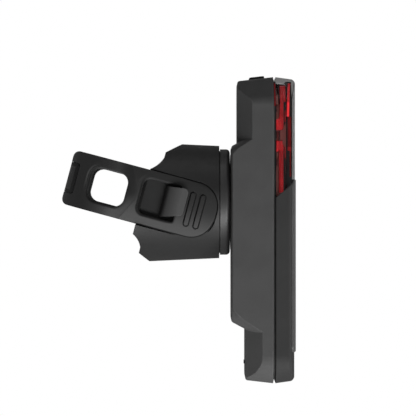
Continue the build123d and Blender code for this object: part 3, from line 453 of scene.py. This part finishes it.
# %% Clear lens
# Each pair is where a smoky part of the lens begins and where it is full, in millimetres. The
# levels say how much light those parts let through.
LENS_TOP = (33.0, 33.5)
LENS_FACE = (57.0, 57.3)
LENS_BORDER = (55.9, 56.15)
LENS_BORDER_SIDES = (9.0, 11.0)
FACE_LEVEL = 0.34
THICK_LEVEL = 0.15


def clear(name, colour, ripple, roughness, refraction, coat=0.0, smoky=False):
    """A clear moulded plastic, and smoky at the lens' top, face and border where asked."""
    finish = Finish(
        name, Transmission_Weight=1.0, IOR=refraction, Coat_Weight=coat, Coat_Roughness=0.04
    )
    cloud = finish.grain(5.0, 2.0)
    haze = finish.grain(1.1, 4.0).clip(0.55, 0.8)
    tint = cloud.tint(share_of(colour, 0.96), colour)
    if smoky:
        top = finish.axis("Z").clip_mm(*LENS_TOP)
        sides = finish.axis("Y").size().clip_mm(*LENS_BORDER_SIDES)
        border = finish.axis("X").clip_mm(*LENS_BORDER) * sides
        face = finish.axis("X").clip_mm(*LENS_FACE)
        tint = top.above(border).tint(face.tint(tint, hue(FACE_LEVEL)), hue(THICK_LEVEL))
    finish.feed(Base_Color=tint, Roughness=roughness + 0.05 * haze)
    finish.relief(cloud, ripple)
    return finish.material


lens_clear = clear("lens_clear", (0.74, 0.74, 0.75, 1.0), 0.003, 0.0, 1.02, coat=0.08, smoky=True)
optic_clear = clear("optic_clear", (0.93, 0.92, 0.92, 1.0), 0.004, 0.02, 1.45)
tell("clear plastics", (lens_clear, optic_clear))

# %% Red light guides
RED_DEEP = (0.26, 0.012, 0.015, 1.0)
RED_BRIGHT = (0.72, 0.030, 0.036, 1.0)
MAROON = (0.055, 0.016, 0.016, 1.0)
# Above this height the light's outline slants inward, and the guides follow it.
CORNER_START = 27.6
# Each pair is where a mask on the guides' sides begins and where it is full, in millimetres.
GUIDE_SIDE = (16.7, 16.9)
NECK_FOOT = (14.9, 15.2)
NECK_HEAD = (18.3, 18.6)
GUIDE_BORDER = (53.55, 53.7)


def red_guide(name, glow, painted_strips=(), depth=1.0, masked=False):
    """Red acrylic with a painted glow, painted light on edges, in streaks and in strips between
    two heights.
    """
    finish = Finish(name, Specular_IOR_Level=0.08, Emission_Strength=glow)
    rounded = finish.rounded(0.25)
    height = finish.axis("Z")
    streak = finish.grain(0.7, 2.0, stretch=(1, 1, 0.12)).clip(0.35, 0.7)
    # Painted light: edges, streaks and strips are tinted toward the bright red, which also glows.
    lit = finish.edge(rounded) * 0.4 + streak * 0.35
    for low, high, gain in painted_strips:
        below_end = 1 - height.clip_mm(high - 0.8, high + 0.3)
        lit = height.clip_mm(low - 0.3, low + 0.3) * below_end * gain + lit
    # A depth below one makes a darker copy, as painted shade.
    colour = lit.tint(share_of(RED_DEEP, depth), share_of(RED_BRIGHT, depth))
    if masked:
        reach = finish.axis("Y").size() + (height - CORNER_START * MM).above(0.0)
        side = reach.clip_mm(*GUIDE_SIDE)
        neck = side * height.clip_mm(*NECK_FOOT) * (1 - height.clip_mm(*NECK_HEAD))
        border = finish.axis("X").clip_mm(*GUIDE_BORDER) * side
        colour = border.tint(neck.tint(colour, MAROON), hue(0.012))
    finish.feed(Base_Color=colour, Emission_Color=colour, Roughness=0.3 + 0.12 * streak)
    finish.relief(streak, 0.006, rounded)
    return finish.material


# Each emission strength is a painted glow; the rail in painted shade is a darker copy.
guide_red = red_guide(
    "guide_red", 0.30, painted_strips=((-2.0, 3.5, 0.15), (12.0, 23.0, 0.3)), masked=True
)
block_red = red_guide("block_red", 0.55, painted_strips=((11.0, 23.0, 0.4),))
rail_bright = red_guide("rail_bright", 0.60, painted_strips=((22.0, 27.5, 1.1),))
rail_painted_shade = red_guide(
    "rail_painted_shade", 0.12, painted_strips=((11.9, 13.0, 9.0), (28.0, 40.0, 0.5)), depth=0.45
)
tell("red plastics", (guide_red, block_red, rail_bright, rail_painted_shade))

# %% [markdown]
# ## Metal, boards and the small parts inside
# Screws are zinc-plated steel with turning marks round their heads. The boards show solder mask
# over faint copper tracks. The cell has a wrinkled foil sleeve, and the foam pad has open pores.
# Few of these show at rest, but the turned and opened poses bring some of them into view.

# %% Steel
def steel(name):
    """Plated steel with fine marks."""
    finish = Finish(name, Metallic=1.0)
    marks = finish.grain(0.5, 3.0, stretch=(8, 1, 1))
    stain = finish.grain(1.6, 3.0).clip(0.4, 0.75)
    finish.feed(
        Base_Color=stain.tint(hue(0.50), hue(0.36, 0.04)),
        Roughness=0.24 + 0.14 * marks + 0.1 * stain,
    )
    finish.relief(marks, 0.004, finish.rounded(0.12))
    return finish.material


steel_plated = steel("steel")
tell("metal", (steel_plated,))

# %% Boards
MASK_GREEN = (0.012, 0.035, 0.018, 1)
TRACK_GREEN = (0.02, 0.07, 0.035, 1)
PAD_GOLD = (0.55, 0.42, 0.18, 1)
# Both in millimetres.
TRACK_PITCH = 4.0
PAD_SPACING = 2.6


def board(name):
    """Solder mask over copper tracks, with plated pads."""
    finish = Finish(name, Coat_Roughness=0.15)
    tracks = finish.wire.node(
        "ShaderNodeTexBrick",
        {
            "Vector": finish.mapped(Rotation=(0, pi / 2, 0)),
            "Scale": 1 / (TRACK_PITCH * MM),
            "Mortar Size": 0.06,
            "Brick Width": 0.9,
            "Row Height": 0.3,
        },
        output="Fac",
    )
    pads = 1 - finish.specks(PAD_SPACING).clip(0.10, 0.14)
    plated = pads * 0.8
    finish.feed(
        Base_Color=plated.tint(tracks.tint(MASK_GREEN, TRACK_GREEN), PAD_GOLD),
        Metallic=plated,
        Roughness=0.34 - 0.1 * pads + 0.08 * finish.grain(0.4),
    )
    finish.relief(tracks + pads, 0.02)
    return finish.material


board_green = board("board")
tell("boards", (board_green,))

# %% Light-emitting diodes
def diode(name, window, package):
    """A moulded package with a coloured window over the die."""
    finish = Finish(name, Specular_IOR_Level=0.5)
    spot = finish.grain(0.5, 2.0)
    rounded = finish.rounded(0.15)
    colour = (finish.edge(rounded) + 0.2 * spot).tint(window, package)
    finish.feed(Base_Color=colour, Roughness=0.3 + 0.1 * spot)
    finish.relief(spot, 0.01, rounded)
    return finish.material


led_package = diode("led", (0.72, 0.30, 0.12, 1), (0.80, 0.78, 0.70, 1))
side_package = diode("side_led", (0.12, 0.02, 0.016, 1), (0.10, 0.035, 0.03, 1))
tell("diodes", (led_package, side_package))

# %% Cell sleeve and foam
def sleeve(name):
    """A foil sleeve, wrinkled where it shrank."""
    finish = Finish(name)
    wrinkle = finish.grain(3.0, 5.0)
    crease = finish.specks(5.0).clip(0.0, 0.6)
    finish.feed(
        Base_Color=wrinkle.clip(0.3, 0.7).tint(hue(0.42, -0.03), hue(0.55, -0.02)),
        Metallic=0.75 + 0.1 * wrinkle,
        Roughness=0.28 + 0.15 * crease,
    )
    finish.relief(wrinkle + 0.4 * crease, 0.09, finish.rounded(0.4))
    return finish.material


def foam(name):
    """Open foam: pores of half a millimetre."""
    finish = Finish(name, Specular_IOR_Level=0.1)
    pores = finish.specks(0.55).clip(0.1, 0.55)
    finish.feed(Base_Color=pores.tint(hue(0.006), hue(0.03)), Roughness=0.85 + 0.1 * pores)
    finish.relief(pores, 0.12)
    return finish.material


cell_wrap = sleeve("cell_wrap")
foam_black = foam("foam")
tell("cell and foam", (cell_wrap, foam_black))

# %% [markdown]
# ## Each solid gets its finish
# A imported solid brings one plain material. It stays where it is, and only its material slot is
# filled anew.

# %% Hand out the finishes
FINISHES = {
    mount_plastic: ["mount_body"],
    strap_rubber: ["strap"],
    pad_rubber: ["saddle_pad"],
    socket_plastic: ["socket_insert", "bayonet_plate"],
    housing_plastic: ["rear_housing"],
    lens_clear: ["front_lens"],
    cover_plastic: ["front_cover"],
    panel_plastic: ["front_panel"],
    button_rubber: ["power_button", "button_boot", "port_cover", "body_seal"],
    steel_plated: [
        "insert_screws", "bayonet_screws", "housing_screws", "board_screws", "usb_socket"
    ],
    cell_wrap: ["battery"],
    foam_black: ["battery_pad"],
    board_green: ["main_board", "sensor_board", "led_board"],
    led_package: ["front_leds"],
    side_package: ["side_leds"],
    frame_painted_red_light: ["optic_frame"],
    frame_plastic: ["power_switch"],
    guide_red: ["light_guide_left", "light_guide_right"],
    optic_clear: ["centre_lens"],
}
for material, names in FINISHES.items():
    for name in names:
        for slot in nodes[name].material_slots:
            slot.material = material
dressed = [name for names in FINISHES.values() for name in names]
print("dressed", len(dressed), "left plain", sorted(set(nodes) - set(dressed)))

# %% [markdown]
# ## Modelling by hand, in code
# New pieces start from a primitive and are shaped in edit mode, as with mouse and keyboard. An
# operator works on what is selected, so these helpers pick vertices, edges or faces by their
# place. All places are in millimetres and in the frame of the whole light, so every piece has its
# place in its mesh. `finish_piece` comes last: it gives a piece its finish, its body and its
# slot.

# %% Helpers that start a piece
def start_piece(name, low, high):
    """A block between two corners in millimetres, in edit mode."""
    bpy.ops.object.select_all(action="DESELECT")
    middle = [(a + b) / 2 * MM for a, b in zip(low, high)]
    bpy.ops.mesh.primitive_cube_add(size=1, location=middle)
    piece = bpy.context.object
    piece.name = name
    piece.scale = [(b - a) * MM for a, b in zip(low, high)]
    bpy.ops.object.transform_apply(location=True, rotation=True, scale=True)
    bpy.ops.object.mode_set(mode="EDIT")
    return piece


def start_tube(name, radius, length, sides):
    """An open tube round the upright axis, in object mode."""
    bpy.ops.object.select_all(action="DESELECT")
    bpy.ops.mesh.primitive_cylinder_add(
        vertices=sides, radius=radius * MM, depth=length * MM, end_fill_type="NOTHING"
    )
    piece = bpy.context.object
    piece.name = name
    return piece


print("two ways to start a piece")

# %% Helpers for edit mode
# How near, in millimetres, a picked place has to be to the one that is meant.
NEAR = 0.01
# Vertices closer than this are one vertex, and only corners sharper than this angle are rounded.
SAME_PLACE = 0.0001
SHARP_ANGLE = radians(25)


def pick(piece, kind, test):
    """Selects the vertices, edges or faces whose middle, in millimetres, passes a test."""
    bpy.ops.mesh.select_mode(type=kind)
    bpy.ops.mesh.select_all(action="DESELECT")
    form = bmesh.from_edit_mesh(piece.data)
    for part in {"VERT": form.verts, "EDGE": form.edges, "FACE": form.faces}[kind]:
        if kind == "FACE":
            middle = part.calc_center_median()
        elif kind == "EDGE":
            middle = (part.verts[0].co + part.verts[1].co) / 2
        else:
            middle = part.co
        if test(middle / MM, part):
            part.select_set(True)
    form.select_flush_mode()
    bmesh.update_edit_mesh(piece.data)


def extrude(*step):
    """Extrudes what is selected by a step in millimetres."""
    bpy.ops.mesh.extrude_region_move(TRANSFORM_OT_translate={"value": [s * MM for s in step]})


def cut_at(point, normal, drop=False):
    """Cuts the whole piece along a plane, and drops what lies beyond it where asked."""
    bpy.ops.mesh.select_all(action="SELECT")
    bpy.ops.mesh.bisect(
        plane_co=[c * MM for c in point], plane_no=normal, clear_outer=drop, use_fill=drop
    )


def thicken(piece, thickness):
    """Gives a surface a wall that grows inward, and leaves edit mode."""
    bpy.ops.object.mode_set(mode="OBJECT")
    wall = piece.modifiers.new("wall", "SOLIDIFY")
    wall.thickness = thickness * MM
    wall.offset = -1
    bpy.ops.object.modifier_apply(modifier="wall")


def soften(piece, width, segments=2):
    """Rounds every edge of the piece, and leaves edit mode."""
    bpy.ops.object.mode_set(mode="EDIT")
    bpy.ops.mesh.select_mode(type="EDGE")
    bpy.ops.mesh.select_all(action="SELECT")
    bpy.ops.mesh.remove_doubles(threshold=SAME_PLACE * MM)
    bpy.ops.object.mode_set(mode="OBJECT")
    bevel = piece.modifiers.new("round", "BEVEL")
    bevel.width = width * MM
    bevel.segments = segments
    bevel.limit_method = "ANGLE"
    bevel.angle_limit = SHARP_ANGLE
    bpy.ops.object.modifier_apply(modifier="round")


print("helpers for edit mode ready")

# %% Helpers that finish a piece
MIRROR = Matrix.Scale(-1, 4, Vector((0, 1, 0)))
SMOOTH_ANGLE = radians(35)


def finish_piece(piece, material, body):
    """Turns the normals outward and sets finish, body and slot."""
    bpy.ops.object.select_all(action="DESELECT")
    piece.select_set(True)
    bpy.context.view_layer.objects.active = piece
    bpy.ops.object.mode_set(mode="EDIT")
    bpy.ops.mesh.select_all(action="SELECT")
    bpy.ops.mesh.normals_make_consistent(inside=False)
    bpy.ops.object.mode_set(mode="OBJECT")
    bpy.ops.object.shade_smooth_by_angle(angle=SMOOTH_ANGLE)
    piece.data.materials.clear()
    piece.data.materials.append(material)
    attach(piece, body)
    print(piece.name, "faces", len(piece.data.polygons))


def repeat(piece, name, move):
    """A copy of a finished piece with its own mesh, moved or mirrored by a matrix."""
    copy = piece.copy()
    copy.data = piece.data.copy()
    copy.name = name
    bpy.context.collection.objects.link(copy)
    copy.data.transform(move)
    if move.determinant() < 0:
        copy.data.flip_normals()
    return copy


def other_side(piece):
    """The same piece on the right side of the light."""
    return repeat(piece, piece.name.replace("left", "right"), MIRROR)


def red_pair(piece, material, width, segments=2):
    """Rounds and finishes a red piece of the left side, and puts another on the right side."""
    soften(piece, width, segments)
    finish_piece(piece, material, "light")
    other_side(piece)


print("helpers for finishing ready")

# %% [markdown]
# ## Dark liners behind the lens' sides
# Seen from the side, the lens isn't see-through: a dark wall stands behind the red light guide,
# so that each half of the light shines only where it should, and a second one stands round the
# lens' front. Both are hoops that follow the light's outline. A block is given the outline's two
# slanted corners with planes, its front, back and foot are taken off, and Solidify turns what is
# left into a wall. A flat hood with a slim rib hanging from it closes the space over the guides.

# %% Hoops that follow the outline
# The hoops end 0.3 mm under the slanted joint between lens and cover.
JOINT_POINT = (57.7, 0, 2.6)
JOINT_ANGLE = radians(41.0)
JOINT_NORMAL = (sin(JOINT_ANGLE), 0, -cos(JOINT_ANGLE))
LINER_WALL = 0.5
# The shell ends here, and the clear lens begins.
LENS_BACK = 51.1


def hoop(name, back, front, half, top, corner, foot, material):
    """A thin dark wall up both sides and over the top, cut off along the joint with the cover."""
    piece = start_piece(name, (back, -half, foot), (front, half, top))
    for side in (-1, 1):
        cut_at((0, side * half, top - corner), (0, side, 1), drop=True)
    cut_at(JOINT_POINT, JOINT_NORMAL, drop=True)
    pick(piece, "FACE", lambda p, face: abs(face.normal.x) > 0.9 or face.normal.z < -0.5)
    bpy.ops.mesh.delete(type="FACE")
    thicken(piece, LINER_WALL)
    soften(piece, 0.1)
    finish_piece(piece, material, "light")


hoop("guide_liner", LENS_BACK, 54.8, half=14.4, top=29.9, corner=3.9, foot=-4.0,
     material=frame_painted_red_light)
hoop("front_liner", 54.45, 56.18, half=16.4, top=33.9, corner=6.7, foot=-3.0,
     material=frame_plastic)

# %% Hood over the guides
HOOD_HALF = 9.0
HOOD_FRONT = 54.3
HOOD_RIB = 52.5

hood = start_piece("guide_hood", (LENS_BACK, -HOOD_HALF, 32.95), (HOOD_FRONT, HOOD_HALF, 33.3))
hood_middle = (LENS_BACK + HOOD_FRONT) / 2
pick(hood, "EDGE",
     lambda p, edge: abs(abs(p.y) - HOOD_HALF) < NEAR and abs(p.x - hood_middle) > 1.0)
bpy.ops.mesh.bevel(offset=0.8 * MM, segments=4)
cut_at((HOOD_RIB, 0, 0), (1, 0, 0))
pick(hood, "FACE", lambda p, face: face.normal.z < -0.9 and p.x < HOOD_RIB)
extrude(0, 0, -3.2)
pick(hood, "VERT", lambda p, v: p.z < 30.0)
bpy.ops.transform.resize(value=(0.32, 1, 1), center_override=(HOOD_RIB * MM, 0, 0))
soften(hood, 0.08)
finish_piece(hood, frame_plastic, "light")

# %% [markdown]
# ## Red rails round the lens' front edge
# The brightest line in the picture is a slim red rail just behind the lens' front edge. It leans
# forward at its top, where it also follows the outline's slanted corner inward. The block is cut
# into lengths first, so that the upper ones can be moved by steps. Below it a wider rail stands
# in shade, given a darker copy of the red as painted shade, with a slimmer foot, and one more rail
# in that finish glows faintly, a painted glow, in the seam between shell and lens.

# %% Bright rails
RAIL_TOP = 33.4
RAIL_OUTER = -17.0
RAIL_INNER = -16.6


def bend_along(piece, bends):
    """Cuts a rail at each height, and moves each cut forward and inward with the outline."""
    for height, _ in bends[:-1]:
        cut_at((0, 0, height), (0, 0, 1))
    for height, forward in bends:
        inward = max(0.0, height - CORNER_START)
        pick(piece, "VERT", lambda p, v: abs(p.z - height) < NEAR)
        bpy.ops.transform.translate(value=(forward * MM, inward * MM, 0))


rail = start_piece("front_rail_left", (54.65, RAIL_OUTER, 22.7), (55.4, RAIL_INNER, RAIL_TOP))
bend_along(rail, ((25.0, 0.05), (CORNER_START, 0.12), (30.0, 0.24), (31.7, 0.34), (RAIL_TOP, 0.5)))
red_pair(rail, rail_bright, 0.12, segments=3)

# %% Rails in painted shade, and the painted glow in the seam
shade_rail = start_piece("lower_rail_left", (54.95, RAIL_OUTER, 12.1), (56.0, RAIL_INNER, 22.6))
pick(shade_rail, "FACE", lambda p, face: face.normal.z < -0.9)
extrude(0.3, 0, -0.1)
bpy.ops.transform.resize(value=(0.37, 1, 1))
extrude(0, 0, -8.2)
red_pair(shade_rail, rail_painted_shade, 0.1, segments=3)

seam_rail = start_piece("seam_rail_left", (50.75, -19.25, 26.0), (LENS_BACK, -18.95, RAIL_TOP))
bend_along(seam_rail, ((CORNER_START, 0.0), (30.0, 0.0), (RAIL_TOP, 0.0)))
red_pair(seam_rail, rail_painted_shade, 0.06)

# %% [markdown]
# ## Short red ribs between guide and rail
# Two short ribs stand between the guide and the front rail, above and below the guide's neck. One
# is modelled, and the others are copies of it, each with its own mesh.

# %% Ribs
RIB_FEET = (9.6, 21.0)
RIB_HEIGHT = 3.6
rib = start_piece(
    "guide_rib_left_1", (53.95, -17.42, RIB_FEET[0]), (54.3, -17.27, RIB_FEET[0] + RIB_HEIGHT)
)
pick(rib, "FACE", lambda p, face: abs(face.normal.z) > 0.9)
bpy.ops.transform.resize(value=(0.45, 0.8, 1.0))
soften(rib, 0.035)
finish_piece(rib, block_red, "light")
rise = Matrix.Translation((0, 0, (RIB_FEET[1] - RIB_FEET[0]) * MM))
upper_rib = repeat(rib, "guide_rib_left_2", rise)
tell("copies", (upper_rib, other_side(rib), other_side(upper_rib)))

# %% [markdown]
# ## Red blocks beside the neck
# Where the guide narrows to its neck, bright blocks stand beside it, right behind the seam: a
# plain one above the neck, and below it one whose two ends reach back like a bracket. For that
# one the block is cut at two heights, and the back faces of its ends are extruded.

# %% Blocks beside the neck
BLOCK_OUTER = -17.28
BLOCK_INNER = -17.1
BLOCK_FRONT = 51.97
upper_block = start_piece(
    "guide_block_left_1", (50.75, BLOCK_OUTER, 18.5), (BLOCK_FRONT, BLOCK_INNER, 21.8)
)
red_pair(upper_block, block_red, 0.08)

lower_block = start_piece(
    "guide_block_left_2", (51.4, BLOCK_OUTER, 11.7), (BLOCK_FRONT, BLOCK_INNER, 15.1)
)
for height in (12.2, 14.6):
    cut_at((0, 0, height), (0, 0, 1))
pick(lower_block, "FACE", lambda p, face: face.normal.x < -0.9 and abs(p.z - 13.4) > 1.3)
extrude(-0.65, 0, 0)
red_pair(lower_block, block_red, 0.06)

# %% [markdown]
# ## Lit edges of the guides
# The guides carry a slim strip along their sides, below and above the neck. The upper one is
# drawn in at the back of its top, where the guide's corner is cut off.

# %% Lit edges
EDGE_BACK = 52.25
EDGE_FRONT = 52.95
EDGE_OUTER = -17.44
EDGE_INNER = -17.26
low_edge = start_piece(
    "guide_edge_left_1", (EDGE_BACK, EDGE_OUTER, -1.2), (EDGE_FRONT, EDGE_INNER, 11.9)
)
red_pair(low_edge, guide_red, 0.05)

high_edge = start_piece(
    "guide_edge_left_2", (EDGE_BACK, EDGE_OUTER, 21.7), (EDGE_FRONT, EDGE_INNER, 29.4)
)
pick(high_edge, "VERT", lambda p, v: p.z > 29 and p.x < 52.5)
bpy.ops.transform.translate(value=(0.55 * MM, 0, 0))
red_pair(high_edge, guide_red, 0.05)

# %% [markdown]
# ## The pad on the strap's bend
# Where the strap turns round the post, a pad stands almost flush in a shallow pocket, with a
# narrow groove round it. It is part of a drum as wide as the strap's bend: a tube is cut down
# with planes, the faces that filled the cuts are taken off, its four corners are drawn in, and
# Solidify and Bevel give it a wall and soft edges. It is modelled upright and leans back with the
# post at the end.

# %% Bend pad
BEND_RADIUS = 15.56
PAD_HALF_LENGTH = 9.3
PAD_HALF_WIDTH = 4.93
PAD_WALL = 0.42
LEAN_BACK = Matrix.Rotation(POST_LEAN, 4, "Y")

pad = start_tube("strap_bend_pad", BEND_RADIUS, 2 * PAD_HALF_WIDTH, sides=192)
bpy.ops.object.mode_set(mode="EDIT")
cut_at((0, 0, 0), (1, 0, 0), drop=True)
for side in (-1, 1):
    cut_at((0, side * PAD_HALF_LENGTH, 0), (0, side, 0), drop=True)
pick(pad, "FACE", lambda p, face: p.to_2d().length < BEND_RADIUS - 0.3)
bpy.ops.mesh.delete(type="FACE")
for reach, share in ((0.05, 0.86), (0.45, 0.95)):
    pick(pad, "VERT", lambda p, v: abs(PAD_HALF_LENGTH - abs(p.y) - reach) < 0.2)
    bpy.ops.transform.resize(value=(1, 1, share))
thicken(pad, PAD_WALL)
soften(pad, 0.08)
pad.data.transform(LEAN_BACK)
finish_piece(pad, pad_skin, "mount")

# %% [markdown]
# ## Inner rims of the hook windows
# Behind the left end of each hook window the strap's dark inner rim shows beside the hook, in
# shade.
# A block with two rounded corners stands there, on each side of the mount, in a rubber painted
# very dark as that shade.

# %% Inner rims
RIM_LOW = (8.55, -16.7, -5.0)
RIM_HIGH = (9.75, -16.0, 5.7)
rim_middle = (RIM_LOW[2] + RIM_HIGH[2]) / 2
rim_half = (RIM_HIGH[2] - RIM_LOW[2]) / 2
rim = start_piece("hook_window_rim_left", RIM_LOW, RIM_HIGH)
pick(rim, "EDGE", lambda p, edge: p.x > 9.7 and abs(abs(p.z - rim_middle) - rim_half) < NEAR)
bpy.ops.mesh.bevel(offset=0.5 * MM, segments=3)
soften(rim, 0.12)
rim.data.transform(LEAN_BACK)
finish_piece(rim, rim_painted_shade, "mount")
other_side(rim)

# %% [markdown]
# ## Rings that close the slits beside the socket
# In the picture no light comes through between barrel, socket disc and hump, except at their very
# rims. A thin ring stands in each slit: one on the mount's side and one on the light's, so each
# turns with its own.

# %% Slit rings
AXIS_HEIGHT = -4.14


def ring(name, start, end, radius, wall, body):
    """A flat ring round the quarter-turn axis, between two places along it."""
    piece = start_tube(name, radius, end - start, sides=128)
    thicken(piece, wall)
    piece.data.transform(Matrix.Rotation(pi / 2, 4, "Y"))
    piece.data.transform(Matrix.Translation(((start + end) / 2 * MM, 0, AXIS_HEIGHT * MM)))
    soften(piece, 0.04)
    finish_piece(piece, socket_plastic, body)


ring("seat_ring", 33.48, 33.68, radius=16.35, wall=0.8, body="mount")
ring("hump_ring", 36.98, 37.16, radius=15.15, wall=0.9, body="light")

# %% [markdown]
# ## Floor, world and lamps
# The picture was taken on white, with the light on its mount in mid-air. The camera and clear
# plastic see a white studio, gloss sees a much dimmer one, and the part itself gets only a weak
# even fill from it. The main lamp stands low on the camera's side, since the undersides are lit
# and the tops are dark. Weaker ones stand behind, on both sides, above and below, so that the
# light looks right from every side. A floor far below gives the views from above something to
# stand on.

# %% World
FILL_LEVEL = 0.13
GLOSS_SHARE = 0.08


def backdrop_mask(wire):
    """1 for rays from the camera or a clear surface, and less for gloss."""
    camera_ray, gloss_ray, clear_ray = (
        wire.node("ShaderNodeLightPath", output=name)
        for name in ("Is Camera Ray", "Is Glossy Ray", "Is Transmission Ray")
    )
    return clear_ray.above(camera_ray).above(gloss_ray * GLOSS_SHARE)


world = bpy.data.worlds.new("studio")
bpy.context.scene.world = world
world.use_nodes = True
world.node_tree.nodes.clear()
air = Wire(world.node_tree)
fill = air.node("ShaderNodeBackground", {"Color": hue(FILL_LEVEL)})
white = air.node("ShaderNodeBackground", {"Color": hue(1.0)})
shown = air.node("ShaderNodeMixShader", {0: backdrop_mask(air), 1: fill, 2: white})
world_out = world.node_tree.nodes.new("ShaderNodeOutputWorld")
world.node_tree.links.new(shown.socket, world_out.inputs[0])
print("world:", world.name)

# %% Floor
FLOOR_LEVEL = -0.95
FLOOR_RADIUS = 2.5
bpy.ops.object.select_all(action="DESELECT")
bpy.ops.mesh.primitive_circle_add(
    vertices=96, radius=FLOOR_RADIUS, fill_type="NGON", location=(0, 0, FLOOR_LEVEL)
)
floor = bpy.context.object
floor.name = "floor"
bpy.ops.object.transform_apply(location=True, rotation=True, scale=True)
paper = Finish("floor_paper", Roughness=0.9, Specular_IOR_Level=0.1)
mottle = paper.grain(60.0, 3.0)
paper.feed(Base_Color=mottle.tint(hue(0.82), hue(0.86)))
glow = paper.wire.node("ShaderNodeEmission", {"Color": hue(1.0)})
from_middle = paper.wire.node(
    "ShaderNodeVectorMath", {0: paper.place}, output="Value", operation="LENGTH"
)
glow_share = backdrop_mask(paper.wire) * (0.78 + 0.22 * from_middle.clip(0.4, 1.4))
lit_paper = Wire(paper.wire.tree, paper.shader.outputs[0])
mixed = paper.wire.node("ShaderNodeMixShader", {0: glow_share, 1: lit_paper, 2: glow})
paper.wire.tree.links.new(mixed.socket, paper.output.inputs[0])
floor.data.materials.append(paper.material)
print("floor at", FLOOR_LEVEL)

# %% Lamps
CENTRE = Vector((0.030, 0, -0.010))
# Name, direction and height in degrees, distance and size in metres, watts, and seen in gloss.
LAMPS = (
    ("key", 20, -38, 0.80, (0.60, 0.20), 7.4, True),
    ("back", 200, 35, 0.60, (0.45, 0.16), 4.5, False),
    ("right", 90, -15, 0.60, (0.30, 0.16), 1.6, True),
    ("left", 262, -15, 0.60, (0.30, 0.16), 0.5, True),
    ("low", 20, -75, 0.70, (0.40, 0.40), 2.4, False),
    ("overhead", 20, 75, 0.70, (0.40, 0.40), 0.8, True),
)


def lamp(name, azimuth, elevation, distance, size, power, in_gloss):
    """A soft rectangular lamp that looks at the light."""
    data = bpy.data.lights.new(name, "AREA")
    data.shape = "RECTANGLE"
    data.size, data.size_y = size
    data.energy = power
    lit = bpy.data.objects.new(name, data)
    bpy.context.collection.objects.link(lit)
    turn, rise = radians(azimuth), radians(elevation)
    away = Vector((sin(turn) * cos(rise), -cos(turn) * cos(rise), sin(rise)))
    lit.location = CENTRE + away * distance
    lit.rotation_euler = away.to_track_quat("Z", "Y").to_euler()
    lit.visible_camera = False
    lit.visible_transmission = False
    lit.visible_glossy = in_gloss
    return lit


tell("lamps", [lamp(*row) for row in LAMPS])

# %% [markdown]
# ## Camera
# The picture is a straight side view with very little perspective, so the camera stands far off
# and level with the light's middle. Its distance and focal length were worked out from the
# picture's scale.

# %% Camera
AIM = Vector((29.87, 0, -6.06)) * MM
DISTANCE = 915 * MM
# Blender takes these two in millimetres.
SENSOR_WIDTH = 36.0
FOCAL_LENGTH = 246.8
camera_data = bpy.data.cameras.new("camera")
camera_data.sensor_width = SENSOR_WIDTH
camera_data.lens = FOCAL_LENGTH
camera_data.clip_start = 0.05
camera_data.clip_end = 20.0
camera = bpy.data.objects.new("camera", camera_data)
bpy.context.collection.objects.link(camera)
camera.location = AIM + Vector((0, -DISTANCE, 0))
camera.rotation_euler = (pi / 2, 0, 0)
bpy.context.scene.camera = camera
bpy.context.scene.view_settings.view_transform = "Standard"
print("camera at", tuple(camera.location))
